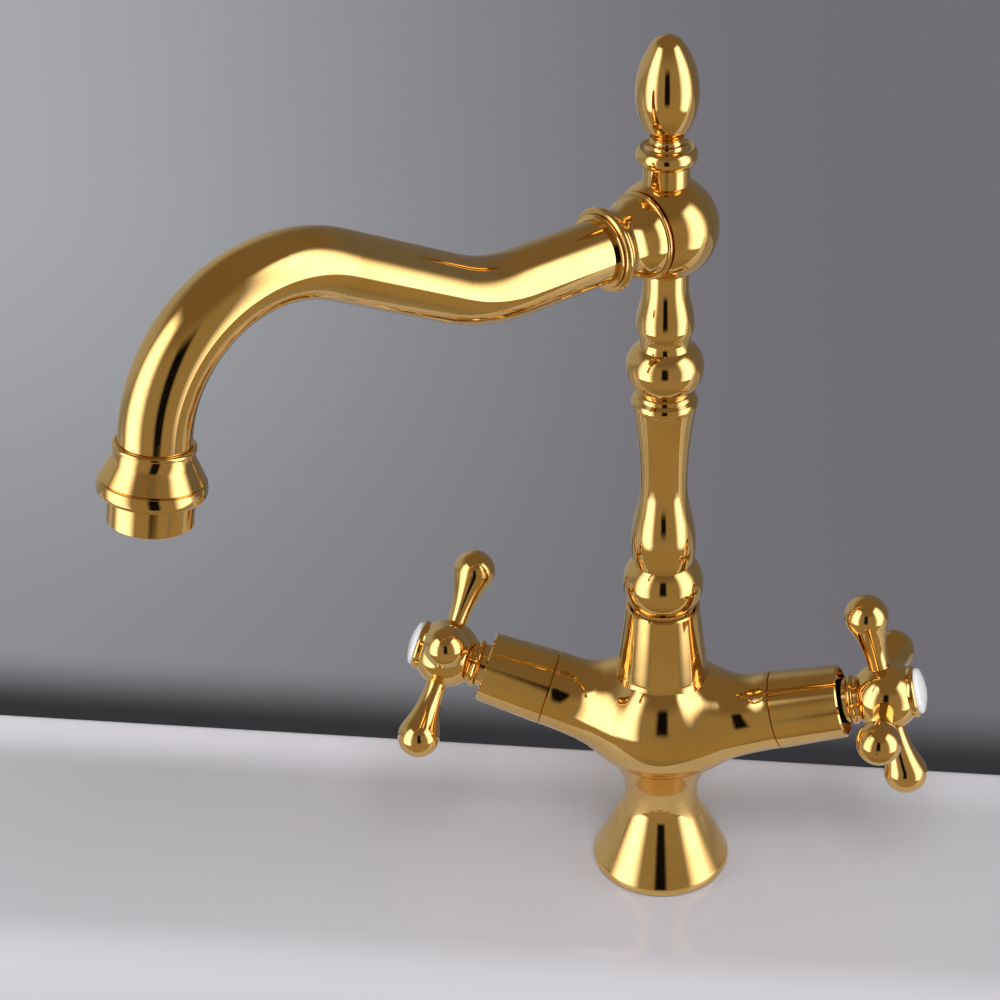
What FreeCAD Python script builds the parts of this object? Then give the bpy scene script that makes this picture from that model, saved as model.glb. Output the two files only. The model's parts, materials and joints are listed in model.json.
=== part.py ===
import FreeCAD, Part
import math
import os
import Sketcher
from FreeCAD import Placement, Rotation, Vector

# A two-handle bathroom mixer with a turned column, a swan spout and cross handles.
# The origin is on the deck under the middle of the foot, +Z is up, the handles lie along X with hot
# at -X, and the front is -Y. At rest the spout is swung towards -X.

doc = FreeCAD.newDocument("mixer_faucet")

# Driving dimensions, in millimetres and degrees. A rise is a height over the feature below it, and a
# reach is a distance along an arm or the spout past the feature before it.
SIZES = {
    # foot on the deck
    "foot_r": 25.0,
    "foot_lip_height": 4.6,
    "foot_lip_inset": 0.7,
    "foot_bottom_inset": 0.8,
    "foot_raise": 0.4,
    "foot_height": 31.2,
    "trumpet_r": 15.0,
    "trumpet_rise": 19.3,
    "waist_r": 13.3,
    "waist_drop": 0.4,
    "foot_wall": 2.05,
    "foot_bore_drop": 9.2,
    "foot_hollow_r": 16.5,
    "gasket_r": 22.4,
    "gasket_width": 3.8,
    "gasket_thick": 2.0,
    # mixer body
    "body_spigot_length": 6.2,
    "neck_height": 0.6,
    "bulb_r": 25.0,
    "bulb_rise": 34.5,
    "neck_cove_r": 24.0,
    "neck_cove_angle": 24.0,
    "riser_cove_r": 5.0,
    "riser_cove_angle": 12.0,
    "body_skirt": 14.0,
    "riser_foot_r": 15.9,
    "riser_foot_rise": 21.3,
    "riser_top_r": 12.8,
    "riser_height": 25.6,
    "riser_chamfer": 0.5,
    "riser_bore_depth": 29.2,
    "mixing_r": 6.0,
    "mixing_depth": 13.0,
    "valve_drop": 6.0,
    "valve_tilt": 16.1,
    "arm_r": 13.7,
    "arm_length": 42.5,
    "arm_straight": 4.5,
    "arm_flare_r": 14.0,
    "arm_flare_back": 9.5,
    "arm_shoulder_r": 15.2,
    "arm_shoulder_back": 15.0,
    "arm_shoulder_lift": 0.8,
    "arm_root_r": 18.2,
    "arm_root_back": 22.0,
    "arm_root_lift": 1.8,
    "arm_root_tilt": 12.0,
    "bulb_side_r": 21.9,
    "bulb_side_back": 29.0,
    "bulb_side_lift": 2.9,
    "bulb_side_tilt": 6.0,
    "bulb_near_r": 24.25,
    "bulb_near_back": 35.0,
    "bulb_near_lift": 4.2,
    "chamber_r": 10.5,
    "chamber_depth": 18.5,
    "seat_hole_r": 5.0,
    "seat_hole_depth": 20.0,
    "waterway_r": 2.5,
    "inlet_r": 4.0,
    "inlet_x": 5.2,
    "inlet_y": 2.2,
    "inlet_depth": 12.0,
    # fixing under the deck
    "deck_thick": 20.0,
    "stud_r": 3.0,
    "stud_y": 6.6,
    "stud_grip": 9.0,
    "stud_length": 82.0,
    "clamp_r": 21.0,
    "clamp_slot": 19.6,
    "clamp_slot_y": 2.4,
    "crescent_thick": 3.0,
    "horseshoe_thick": 2.5,
    "nut_flats": 10.0,
    "nut_height": 6.0,
    # swivel of the column
    "spigot_r": 9.0,
    "spigot_clear": 2.0,
    "bearing_thick": 0.8,
    "bearing_r": 10.4,
    "swivel_gap": 0.1,
    "oring_section_r": 1.0,
    "oring_low_rise": 4.0,
    "oring_high_drop": 6.7,
    "lock_groove_drop": 15.2,
    "lock_groove_depth": 1.5,
    "set_screw_r": 2.0,
    "set_screw_length": 6.0,
    # turned column
    "water_r": 5.0,
    "groove_r": 11.6,
    "ball_r": 13.9,
    "ball_rise": 9.2,
    "ball_top_r": 10.3,
    "ball_top_rise": 8.8,
    "belly_r": 11.1,
    "belly_rise": 7.1,
    "shaft_r": 7.9,
    "shaft_rise": 24.2,
    "shaft_top_r": 10.6,
    "shaft_top_rise": 29.3,
    "joint_r": 7.2,
    "joint_wall": 1.0,
    "joint_length": 7.0,
    "band_r": 11.0,
    "band_rise": 3.0,
    "band_top_r": 9.3,
    "band_top_rise": 3.4,
    "band_groove": 0.35,
    "knop_r": 12.8,
    "knop_rise": 8.6,
    "knop_top_r": 8.9,
    "knop_top_rise": 7.4,
    "scotia_r": 8.4,
    "scotia_rise": 2.4,
    "vase_r": 9.5,
    "vase_rise": 5.0,
    "vase_neck_r": 7.4,
    "vase_neck_rise": 14.4,
    # head and finial
    "head_r": 16.8,
    "head_rise": 19.8,
    "finial_neck_r": 7.4,
    "finial_ring_r": 9.7,
    "finial_ring_rise": 24.2,
    "finial_ring_half": 3.2,
    "finial_cove_r": 8.4,
    "finial_cove_rise": 2.7,
    "finial_base_top_rise": 1.2,
    "finial_bead_r": 5.4,
    "finial_bead_rise": 0.5,
    "finial_waist_r": 4.9,
    "finial_waist_rise": 1.2,
    "finial_r": 9.9,
    "finial_rise": 14.4,
    "finial_tip_rise": 18.3,
    "finial_tip_r": 6.0,
    "finial_stem_r": 3.0,
    "finial_stem_length": 6.0,
    # spout
    "spout_angle": 229.8,
    "port_r": 9.0,
    "port_depth": 5.0,
    "head_face_d": 9.0,
    "adapter_groove": 0.7,
    "adapter_groove_r": 12.8,
    "adapter_rim_r": 14.2,
    "adapter_rim_wide": 1.3,
    "adapter_barrel_r": 13.3,
    "adapter_neck_r": 11.0,
    "adapter_neck_reach": 9.6,
    "adapter_lip_r": 11.6,
    "adapter_lip_reach": 2.0,
    "collar_r": 13.6,
    "collar_ridge": 2.6,
    "collar_step_r": 11.9,
    "collar_step": 1.7,
    "tube_r": 10.3,
    "tube_wall": 1.2,
    "tube_seat": 0.9,
    "nipple_length": 9.0,
    "kink_angle": 27.3,
    "kink_r": 55.0,
    "crest_d": 142.9,
    "crest_rise": 30.8,
    "arch_r": 43.2,
    "arch_angle": 79.0,
    "tube_stub": 8.45,
    # outlet
    "bell_height": 15.2,
    "bell_bead_r": 11.6,
    "bell_bead_height": 1.3,
    "bell_throat_r": 11.1,
    "bell_cone_r": 12.1,
    "bell_cone_rise": 5.0,
    "bell_ring_r": 15.4,
    "bell_ring_height": 4.6,
    "bell_ring_mid": 2.0,
    "bell_foot_r": 13.9,
    "bell_socket": 5.0,
    "aerator_r": 12.15,
    "aerator_length": 8.5,
    "aerator_wall": 1.6,
    "aerator_thread_r": 11.0,
    "aerator_thread": 4.4,
    "insert_r": 8.2,
    "washer_thick": 1.2,
    # handle sleeves and cartridges
    "sleeve_length": 24.1,
    "sleeve_end_r": 12.7,
    "sleeve_bore_r": 11.2,
    "sleeve_recess_r": 11.5,
    "sleeve_recess": 2.6,
    "sleeve_mouth_r": 7.7,
    "sleeve_lip": 1.6,
    "seal_height": 2.6,
    "flange_flats": 19.0,
    "flange_height": 5.0,
    "gland_r": 6.0,
    "gland_reach": 16.5,
    "cup_r": 8.1,
    "cup_depth": 7.4,
    "spindle_r": 4.0,
    "spindle_reach": 15.2,
    "driver_r": 7.6,
    "driver_thick": 3.6,
    "disc_r": 7.8,
    "disc_thick": 1.7,
    "seal_r": 7.6,
    "seal_wall": 1.9,
    "cartridge_ring_back": 1.9,
    "clip_r": 5.6,
    "clip_thick": 0.8,
    # cross handles
    "hot_cross_angle": 41.6,
    "cold_cross_angle": -5.6,
    "hub_r": 12.2,
    "hub_reach": 15.1,
    "hub_neck_r": 7.8,
    "hub_neck_inside": 2.2,
    "hub_bead_r": 8.7,
    "hub_bead_reach": 3.5,
    "hub_bead_half": 1.3,
    "hub_face_r": 8.7,
    "hub_face_reach": 8.6,
    "handle_screw_r": 2.0,
    "screw_head_r": 3.6,
    "screw_head_height": 2.4,
    "counterbore_r": 4.1,
    "counterbore_reach": 8.2,
    "screw_length": 12.0,
    "bezel_thick": 2.4,
    "bezel_bore_r": 7.2,
    "button_r": 8.0,
    "button_rise": 3.0,
    "button_plug": 4.0,
    "spoke_length": 31.5,
    "spoke_ball_r": 7.6,
    "spoke_r": 3.65,
    "spoke_seat": 11.4,
    "spoke_straight": 0.8,
    "spoke_pin_r": 2.4,
    "spoke_pin_length": 3.6,
    # clearances
    "fit_gap": 0.05,
    "seat_gap": 0.05,
    "thread_gap": 0.05,
    "free_gap": 0.3,
    "cut_margin": 1.0,
}

sheet = doc.addObject("Spreadsheet::Sheet", "Sizes")


class Size:
    """A size with its number and the formula over the sheet's cells that gives it."""

    def __init__(self, value, text):
        self.value = value
        self.text = text

    def __add__(self, other):
        return combine(self, "+", other)

    def __radd__(self, other):
        return combine(other, "+", self)

    def __sub__(self, other):
        return combine(self, "-", other)

    def __rsub__(self, other):
        return combine(other, "-", self)

    def __mul__(self, other):
        return combine(self, "*", other)

    def __rmul__(self, other):
        return combine(other, "*", self)

    def __truediv__(self, other):
        return combine(self, "/", other)

    def __float__(self):
        return float(self.value)


def as_size(number):
    if isinstance(number, Size):
        return number
    return Size(float(number), repr(float(number)))


def combine(left, sign, right):
    left = as_size(left)
    right = as_size(right)
    value = {
        "+": lambda a, b: a + b,
        "-": lambda a, b: a - b,
        "*": lambda a, b: a * b,
        "/": lambda a, b: a / b if b else math.inf,
    }[sign](left.value, right.value)
    return Size(value, "(%s %s %s)" % (left.text, sign, right.text))


def root(size):
    return Size(math.sqrt(size.value), "sqrt(%s)" % size.text)


def sine(angle):
    return Size(math.sin(math.radians(angle.value)), "sin(%s)" % angle.text)


def cosine(angle):
    return Size(math.cos(math.radians(angle.value)), "cos(%s)" % angle.text)


class Names:
    """The sizes of the sheet under their names."""


def fill_sheet():
    names = Names()
    for row, (name, value) in enumerate(SIZES.items(), start=1):
        sheet.set("A%d" % row, name)
        sheet.set("B%d" % row, str(value))
        sheet.setAlias("B%d" % row, name)
        setattr(names, name, Size(value, "Sizes.%s" % name))
    doc.recompute()
    return names


n = fill_sheet()
ZERO = as_size(0)

# Heights over the deck, each from the one below it
n.trumpet_z = n.foot_lip_height + n.trumpet_rise
n.foot_top_z = n.foot_height
n.waist_z = n.foot_top_z - n.waist_drop
n.foot_bore_z = n.foot_top_z - n.foot_bore_drop
n.body_spigot_z = n.foot_top_z - n.body_spigot_length
n.neck_top_z = n.foot_top_z + n.neck_height
n.bulb_z = n.neck_top_z + n.bulb_rise
n.valve_z = n.bulb_z - n.valve_drop
n.riser_foot_z = n.bulb_z + n.riser_foot_rise
n.riser_top_z = n.riser_foot_z + n.riser_height
n.riser_bore_z = n.riser_top_z - n.riser_bore_depth
n.mixing_z = n.riser_bore_z - n.mixing_depth
n.spigot_z = n.riser_bore_z + n.spigot_clear
n.oring_low_z = n.spigot_z + n.oring_low_rise
n.oring_high_z = n.riser_top_z - n.oring_high_drop
n.lock_groove_z = n.riser_top_z - n.lock_groove_drop
n.ball_z = n.riser_top_z + n.ball_rise
n.ball_top_z = n.ball_z + n.ball_top_rise
n.belly_z = n.ball_top_z + n.belly_rise
n.shaft_z = n.belly_z + n.shaft_rise
n.shaft_top_z = n.shaft_z + n.shaft_top_rise
n.band_z = n.shaft_top_z + n.band_rise
n.band_top_z = n.band_z + n.band_top_rise
n.knop_z = n.band_top_z + n.knop_rise
n.knop_top_z = n.knop_z + n.knop_top_rise
n.scotia_z = n.knop_top_z + n.scotia_rise
n.vase_z = n.scotia_z + n.vase_rise
n.vase_neck_z = n.vase_z + n.vase_neck_rise
n.head_z = n.vase_neck_z + n.head_rise
n.finial_ring_z = n.head_z + n.finial_ring_rise
n.finial_cove_z = n.finial_ring_z + n.finial_cove_rise
n.finial_base_top_z = n.finial_cove_z + n.finial_base_top_rise
n.finial_bead_z = n.finial_base_top_z + n.finial_bead_rise
n.finial_waist_z = n.finial_bead_z + n.finial_waist_rise
n.finial_z = n.finial_waist_z + n.finial_rise
n.finial_tip_z = n.finial_z + n.finial_tip_rise
n.crest_z = n.head_z + n.crest_rise

# Distances along a valve's axis from the column
n.arm_s = n.arm_length
n.chamber_s = n.arm_s - n.chamber_depth
n.seat_hole_s = n.chamber_s - n.seat_hole_depth
n.cartridge_s = n.chamber_s + n.seal_height
n.cartridge_ring_s = n.arm_s - n.cartridge_ring_back
n.gland_s = n.arm_s + n.gland_reach
n.spindle_s = n.gland_s + n.spindle_reach
n.counterbore_s = n.spindle_s + n.counterbore_reach
n.sleeve_s = n.arm_s + n.sleeve_length
n.hub_neck_s = n.sleeve_s - n.hub_neck_inside
n.hub_bead_s = n.sleeve_s + n.hub_bead_reach
n.hub_s = n.sleeve_s + n.hub_reach
n.hub_face_s = n.hub_s + n.hub_face_reach

# Distances along the spout's axis from the column
n.port_d = n.head_face_d - n.port_depth
n.adapter_rim_d = n.head_face_d + n.adapter_groove
n.adapter_rim_end_d = n.adapter_rim_d + n.adapter_rim_wide
n.adapter_neck_d = n.adapter_rim_end_d + n.adapter_neck_reach
n.collar_d = n.adapter_neck_d + n.adapter_lip_reach
n.tube_d = n.collar_d + n.tube_seat

# How a stretch of an outline runs to its corner
LINE = "line"
LEAVES_UPRIGHT = "arc that leaves upright"
ARRIVES_UPRIGHT = "arc that arrives upright"
LEAVES_FLAT = "arc that leaves flat"
ARRIVES_FLAT = "arc that arrives flat"


def arc_centre(kind, start, end):
    """Centre of an arc whose start or end runs straight up or straight across."""
    fixed, other = (start, end) if kind in (LEAVES_UPRIGHT, LEAVES_FLAT) else (end, start)
    across = other.x - fixed.x
    up = other.y - fixed.y
    square = across * across + up * up
    if kind in (LEAVES_UPRIGHT, ARRIVES_UPRIGHT):
        return Vector(fixed.x + square / (2 * across), fixed.y, 0)
    return Vector(fixed.x, fixed.y + square / (2 * up), 0)


def add_stretch(sketch, kind, start, end):
    """Add one stretch; gives its index and its start and end marks."""
    if kind == LINE:
        return sketch.addGeometry(Part.LineSegment(start, end)), 1, 2
    centre = arc_centre(kind, start, end)
    first = start - centre
    last = end - centre
    runs_left = first.x * last.y - first.y * last.x > 0
    if not runs_left:
        first, last = last, first
    circle = Part.Circle(centre, Vector(0, 0, 1), first.Length)
    arc = Part.ArcOfCircle(circle, math.atan2(first.y, first.x), math.atan2(last.y, last.x))
    index = sketch.addGeometry(arc)
    start_mark, end_mark = (1, 2) if runs_left else (2, 1)
    held_mark = start_mark if kind in (LEAVES_UPRIGHT, LEAVES_FLAT) else end_mark
    level = "Horizontal" if kind in (LEAVES_UPRIGHT, ARRIVES_UPRIGHT) else "Vertical"
    sketch.addConstraint(Sketcher.Constraint(level, index, 3, index, held_mark))
    return index, start_mark, end_mark


def pin_corner(sketch, index, mark, across, up):
    """Hold a corner at its sizes from the sketch's origin."""
    for rule, axis, size in (("DistanceX", -2, across), ("DistanceY", -1, up)):
        if size.value == 0:
            sketch.addConstraint(Sketcher.Constraint("PointOnObject", index, mark, axis))
        else:
            held = sketch.addConstraint(Sketcher.Constraint(rule, -1, 1, index, mark, size.value))
            sketch.setExpression("Constraints[%d]" % held, size.text)


def draw(sketch, corners, closed=True):
    """Draw an outline through its corners, each with the kind of stretch that runs to it."""
    corners = [(kind, as_size(across), as_size(up)) for kind, across, up in corners]
    if closed:
        corners = corners + [(LINE, corners[0][1], corners[0][2])]
    points = [Vector(across.value, up.value, 0) for _, across, up in corners]
    stretches = []
    for i in range(1, len(corners)):
        stretches.append(add_stretch(sketch, corners[i][0], points[i - 1], points[i]))
    for i, (index, start_mark, end_mark) in enumerate(stretches):
        pin_corner(sketch, index, start_mark, corners[i][1], corners[i][2])
        if i + 1 < len(stretches):
            following, its_mark, _ = stretches[i + 1]
            sketch.addConstraint(Sketcher.Constraint("Coincident", index, end_mark, following, its_mark))
    last, _, last_mark = stretches[-1]
    if closed:
        first, first_mark, _ = stretches[0]
        sketch.addConstraint(Sketcher.Constraint("Coincident", last, last_mark, first, first_mark))
    else:
        pin_corner(sketch, last, last_mark, corners[-1][1], corners[-1][2])


def plane(body, role):
    return [feature for feature in body.Origin.OriginFeatures if feature.Role == role][0]


def new_sketch(body, name, role):
    sketch = body.newObject("Sketcher::SketchObject", name)
    sketch.AttachmentSupport = (plane(body, role), [""])
    sketch.MapMode = "FlatFace"
    return sketch


def turned(name, corners, place=Placement()):
    """A piece turned on a lathe: corners hold radius and height along its axis."""
    body = doc.addObject("PartDesign::Body", name)
    sketch = new_sketch(body, name + "_profile", "XZ_Plane")
    draw(sketch, corners)
    turn = body.newObject("PartDesign::Revolution", name + "_turn")
    turn.Profile = sketch
    turn.ReferenceAxis = (sketch, ["V_Axis"])
    turn.Angle = 360.0
    body.Tip = turn
    body.Placement = place
    return body


def ring(name, inner_r, outer_r, low, high, place=Placement()):
    """A plain ring or washer."""
    corners = [(LINE, inner_r, low), (LINE, outer_r, low), (LINE, outer_r, high), (LINE, inner_r, high)]
    return turned(name, corners, place)


def at(x, y, z):
    return Placement(Vector(float(x), float(y), float(z)), Rotation())


def about(axis, angle):
    return Placement(Vector(), Rotation(axis, float(angle)))


X_AXIS = Vector(1, 0, 0)
Y_AXIS = Vector(0, 1, 0)
Z_AXIS = Vector(0, 0, 1)


def rod(name, radius, length, place):
    piece = doc.addObject("Part::Cylinder", name)
    piece.setExpression("Radius", as_size(radius).text)
    piece.setExpression("Height", as_size(length).text)
    piece.Placement = place
    return piece


def hexagon(name, flats, height, place):
    piece = doc.addObject("Part::Prism", name)
    piece.Polygon = 6
    piece.setExpression("Circumradius", (as_size(flats) / math.sqrt(3)).text)
    piece.setExpression("Height", as_size(height).text)
    piece.Placement = place
    return piece


def block(name, length, width, height, place):
    piece = doc.addObject("Part::Box", name)
    piece.setExpression("Length", as_size(length).text)
    piece.setExpression("Width", as_size(width).text)
    piece.setExpression("Height", as_size(height).text)
    piece.Placement = place
    return piece


def donut(name, centre_r, section_r, place):
    piece = doc.addObject("Part::Torus", name)
    piece.setExpression("Radius1", as_size(centre_r).text)
    piece.setExpression("Radius2", as_size(section_r).text)
    piece.Placement = place
    return piece


def joined(name, pieces):
    union = doc.addObject("Part::MultiFuse", name)
    union.Shapes = pieces
    return union


def cut_from(name, base, tools):
    tool = tools[0] if len(tools) == 1 else joined(name + "_cutters", tools)
    result = doc.addObject("Part::Cut", name)
    result.Base = base
    result.Tool = tool
    return result


def halfway(first, second, share=0.5):
    return first + (second - first) * share


# Places of the sub-assemblies

valve_places = {
    "hot": at(0, 0, n.valve_z) * about(Y_AXIS, float(n.valve_tilt) - 90),
    "cold": at(0, 0, n.valve_z) * about(Y_AXIS, 90 - float(n.valve_tilt)),
}
cross_angles = {"hot": n.hot_cross_angle, "cold": n.cold_cross_angle}
spout_place = about(Z_AXIS, n.spout_angle)
spout_axis_place = spout_place * at(0, 0, n.head_z) * about(Y_AXIS, 90)

neck_bore_r = n.waist_r - n.foot_wall
body_spigot_r = neck_bore_r - n.fit_gap
riser_bore_r = n.spigot_r + n.fit_gap


# Foot, gasket and the fixing under the deck

def make_foot():
    lip_mid_z = halfway(n.foot_raise, n.foot_lip_height)
    recess_top = n.gasket_thick + n.seat_gap
    recess_in = n.gasket_r - n.gasket_width - n.free_gap
    recess_out = n.gasket_r + n.seat_gap
    return turned("foot", [
        (LINE, neck_bore_r, n.foot_top_z),
        (LINE, n.waist_r, n.foot_top_z),
        (LINE, n.waist_r, n.waist_z),
        (LEAVES_UPRIGHT, n.trumpet_r, n.trumpet_z),
        (LINE, n.foot_r - n.foot_lip_inset, n.foot_lip_height),
        (ARRIVES_UPRIGHT, n.foot_r, lip_mid_z),
        (LEAVES_UPRIGHT, n.foot_r - n.foot_bottom_inset, n.foot_raise),
        (LINE, recess_out, n.foot_raise),
        (LINE, recess_out, recess_top),
        (LINE, recess_in, recess_top),
        (LINE, recess_in, n.foot_raise),
        (LINE, n.foot_hollow_r, n.foot_raise),
        (LINE, neck_bore_r, n.foot_bore_z),
    ])


def make_gasket():
    return ring("foot_gasket", n.gasket_r - n.gasket_width, n.gasket_r, ZERO, n.gasket_thick)


def clamp_plate(name, top_z, thick):
    """A plate under the deck, open to the front for the supply hoses, with a hole for the stud."""
    low = top_z - float(thick)
    disc = rod(name + "_disc", n.clamp_r, thick, at(0, 0, low))
    slot_x = -float(n.clamp_slot) / 2
    slot_y = float(n.clamp_slot_y) - float(n.clamp_r) * 2
    slot = block(name + "_slot", n.clamp_slot, n.clamp_r * 2, thick * 3,
                 at(slot_x, slot_y, low - float(thick)))
    hole = rod(name + "_hole", n.stud_r + n.free_gap, thick * 3, at(0, n.stud_y, low - float(thick)))
    return cut_from(name, disc, [slot, hole])


def make_fixing():
    deck_under = -float(n.deck_thick)
    crescent = clamp_plate("rubber_crescent", deck_under, n.crescent_thick)
    steel_top = deck_under - float(n.crescent_thick) - float(n.seat_gap)
    horseshoe = clamp_plate("horseshoe_washer", steel_top, n.horseshoe_thick)
    stud_top = n.body_spigot_z + n.stud_grip
    stud = rod("mounting_stud", n.stud_r, n.stud_length, at(0, n.stud_y, stud_top - n.stud_length))
    nut_top = steel_top - float(n.horseshoe_thick) - float(n.seat_gap)
    nut_place = at(0, n.stud_y, nut_top - float(n.nut_height))
    nut_blank = hexagon("clamp_nut_blank", n.nut_flats, n.nut_height, nut_place)
    nut_hole = rod("clamp_nut_hole", n.stud_r + n.thread_gap, n.nut_height * 3,
                   at(0, n.stud_y, nut_top - 2 * float(n.nut_height)))
    nut = cut_from("clamp_nut", nut_blank, [nut_hole])
    return [crescent, horseshoe, stud, nut]


# Mixer body with its two arms, riser and waterways

def cove(radius, angle):
    """How far a cove and its straight skirt run out and along."""
    out = radius * (1 - cosine(angle))
    along = radius * sine(angle)
    return out, along, n.body_skirt * sine(angle), n.body_skirt * cosine(angle)


def make_body_column():
    """The neck that stands in the foot and the riser, each flaring into the bulb with a small cove."""
    neck_out, neck_along, neck_skirt_r, neck_skirt_z = cove(n.neck_cove_r, n.neck_cove_angle)
    riser_out, riser_along, riser_skirt_r, riser_skirt_z = cove(n.riser_cove_r, n.riser_cove_angle)
    neck_end_r = n.waist_r + neck_out
    neck_end_z = n.neck_top_z + neck_along
    foot_end_r = n.riser_foot_r + riser_out
    foot_end_z = n.riser_foot_z - riser_along
    return turned("body_column", [
        (LINE, ZERO, n.body_spigot_z),
        (LINE, body_spigot_r, n.body_spigot_z),
        (LINE, body_spigot_r, n.foot_top_z + n.seat_gap),
        (LINE, n.waist_r, n.foot_top_z + n.seat_gap),
        (LINE, n.waist_r, n.neck_top_z),
        (LEAVES_UPRIGHT, neck_end_r, neck_end_z),
        (LINE, neck_end_r + neck_skirt_r, neck_end_z + neck_skirt_z),
        (LINE, foot_end_r + riser_skirt_r, foot_end_z - riser_skirt_z),
        (LINE, foot_end_r, foot_end_z),
        (ARRIVES_UPRIGHT, n.riser_foot_r, n.riser_foot_z),
        (LINE, n.riser_top_r, n.riser_top_z - n.riser_chamfer),
        (LINE, n.riser_top_r - n.riser_chamfer, n.riser_top_z),
        (LINE, ZERO, n.riser_top_z),
    ])


def body_section(name, radius, place):
    circle = doc.addObject("Part::Circle", name)
    circle.setExpression("Radius", radius.text)
    circle.Placement = place * about(Z_AXIS, 90)
    return circle


def make_body_arms():
    """Both arms and the bulb between them, as one smooth run of round sections."""
    arm = n.valve_tilt
    stations = [
        ("end", n.arm_s, n.arm_r, ZERO, arm),
        ("straight", n.arm_s - n.arm_straight, n.arm_r, ZERO, arm),
        ("flare", n.arm_s - n.arm_flare_back, n.arm_flare_r, ZERO, arm),
        ("shoulder", n.arm_s - n.arm_shoulder_back, n.arm_shoulder_r, n.arm_shoulder_lift, arm),
        ("root", n.arm_s - n.arm_root_back, n.arm_root_r, n.arm_root_lift, n.arm_root_tilt),
        ("side", n.arm_s - n.bulb_side_back, n.bulb_side_r, n.bulb_side_lift, n.bulb_side_tilt),
        ("near", n.arm_s - n.bulb_near_back, n.bulb_near_r, n.bulb_near_lift, ZERO),
    ]
    middle = at(0, 0, n.valve_z)
    hot = []
    cold = []
    for word, distance, radius, lift, tilt in stations:
        short = float(arm) - float(tilt)
        hot_place = (middle * about(Y_AXIS, 90 + float(arm)) * at(-float(lift), 0, -float(distance))
                     * about(Y_AXIS, -short))
        hot.append(body_section("hot_arm_" + word, radius, hot_place))
        cold_place = (middle * about(Y_AXIS, 90 - float(arm)) * at(-float(lift), 0, distance)
                      * about(Y_AXIS, short))
        cold.append(body_section("cold_arm_" + word, radius, cold_place))
    bulb = body_section("bulb_section", n.bulb_r, at(0, 0, n.bulb_z) * about(Y_AXIS, 90))
    loft = doc.addObject("Part::Loft", "body_arms")
    loft.Sections = hot + [bulb] + cold[::-1]
    loft.Solid = True
    loft.Ruled = False
    return loft


def make_mixer_body():
    solid = joined("body_solid", [make_body_column(), make_body_arms()])
    bores = [
        rod("riser_bore", riser_bore_r, n.riser_top_z - n.riser_bore_z + n.cut_margin,
            at(0, 0, n.riser_bore_z)),
        rod("mixing_bore", n.mixing_r, n.riser_bore_z - n.mixing_z + n.cut_margin, at(0, 0, n.mixing_z)),
        rod("stud_hole", n.stud_r + n.thread_gap, n.stud_grip + n.seat_gap + n.cut_margin,
            at(0, n.stud_y, n.body_spigot_z - n.cut_margin)),
        rod("set_screw_hole", n.set_screw_r + n.thread_gap, n.riser_foot_r,
            at(0, 0, n.lock_groove_z) * about(X_AXIS, -90)),
    ]
    mix_reach = n.chamber_s * cosine(n.valve_tilt)
    mix_z = n.mixing_z + n.waterway_r + n.cut_margin
    bores.append(rod("mixing_way", n.waterway_r, mix_reach * 2,
                     at(-float(mix_reach), 0, mix_z) * about(Y_AXIS, 90)))
    for side, sign in (("hot", -1), ("cold", 1)):
        valve = valve_places[side]
        bores.append(rod(side + "_chamber", n.chamber_r, n.arm_s - n.chamber_s + n.cut_margin,
                         valve * at(0, 0, n.chamber_s)))
        bores.append(rod(side + "_seat_hole", n.seat_hole_r, n.chamber_s - n.seat_hole_s + n.cut_margin,
                         valve * at(0, 0, n.seat_hole_s)))
        mouth = at(sign * float(n.inlet_x), -float(n.inlet_y), n.body_spigot_z)
        bores.append(rod(side + "_inlet", n.inlet_r, n.inlet_depth, mouth))
        bores.append(rod(side + "_waterway", n.waterway_r, n.valve_z - n.body_spigot_z, mouth))
    return cut_from("mixer_body", solid, bores)


# Swivel between the riser and the column

def make_swivel():
    bearing_top = n.riser_top_z + n.bearing_thick
    bearing = ring("swivel_bearing", riser_bore_r + n.seat_gap, n.bearing_r, n.riser_top_z, bearing_top)
    tip = n.spigot_r - n.lock_groove_depth + n.free_gap
    screw = rod("swivel_set_screw", n.set_screw_r, n.set_screw_length,
                at(0, tip, n.lock_groove_z) * about(X_AXIS, -90))
    return [bearing, screw]


oring_centre_r = n.spigot_r + n.fit_gap / 2 - n.oring_section_r
oring_groove_r = oring_centre_r - n.oring_section_r - n.fit_gap / 2
oring_groove_half = n.oring_section_r + n.fit_gap


def groove(outer_r, inner_r, middle, half):
    """Corners of a square groove, from its low edge to its high edge."""
    return [
        (LINE, outer_r, middle - half),
        (LINE, inner_r, middle - half),
        (LINE, inner_r, middle + half),
        (LINE, outer_r, middle + half),
    ]


# Turned column

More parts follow.
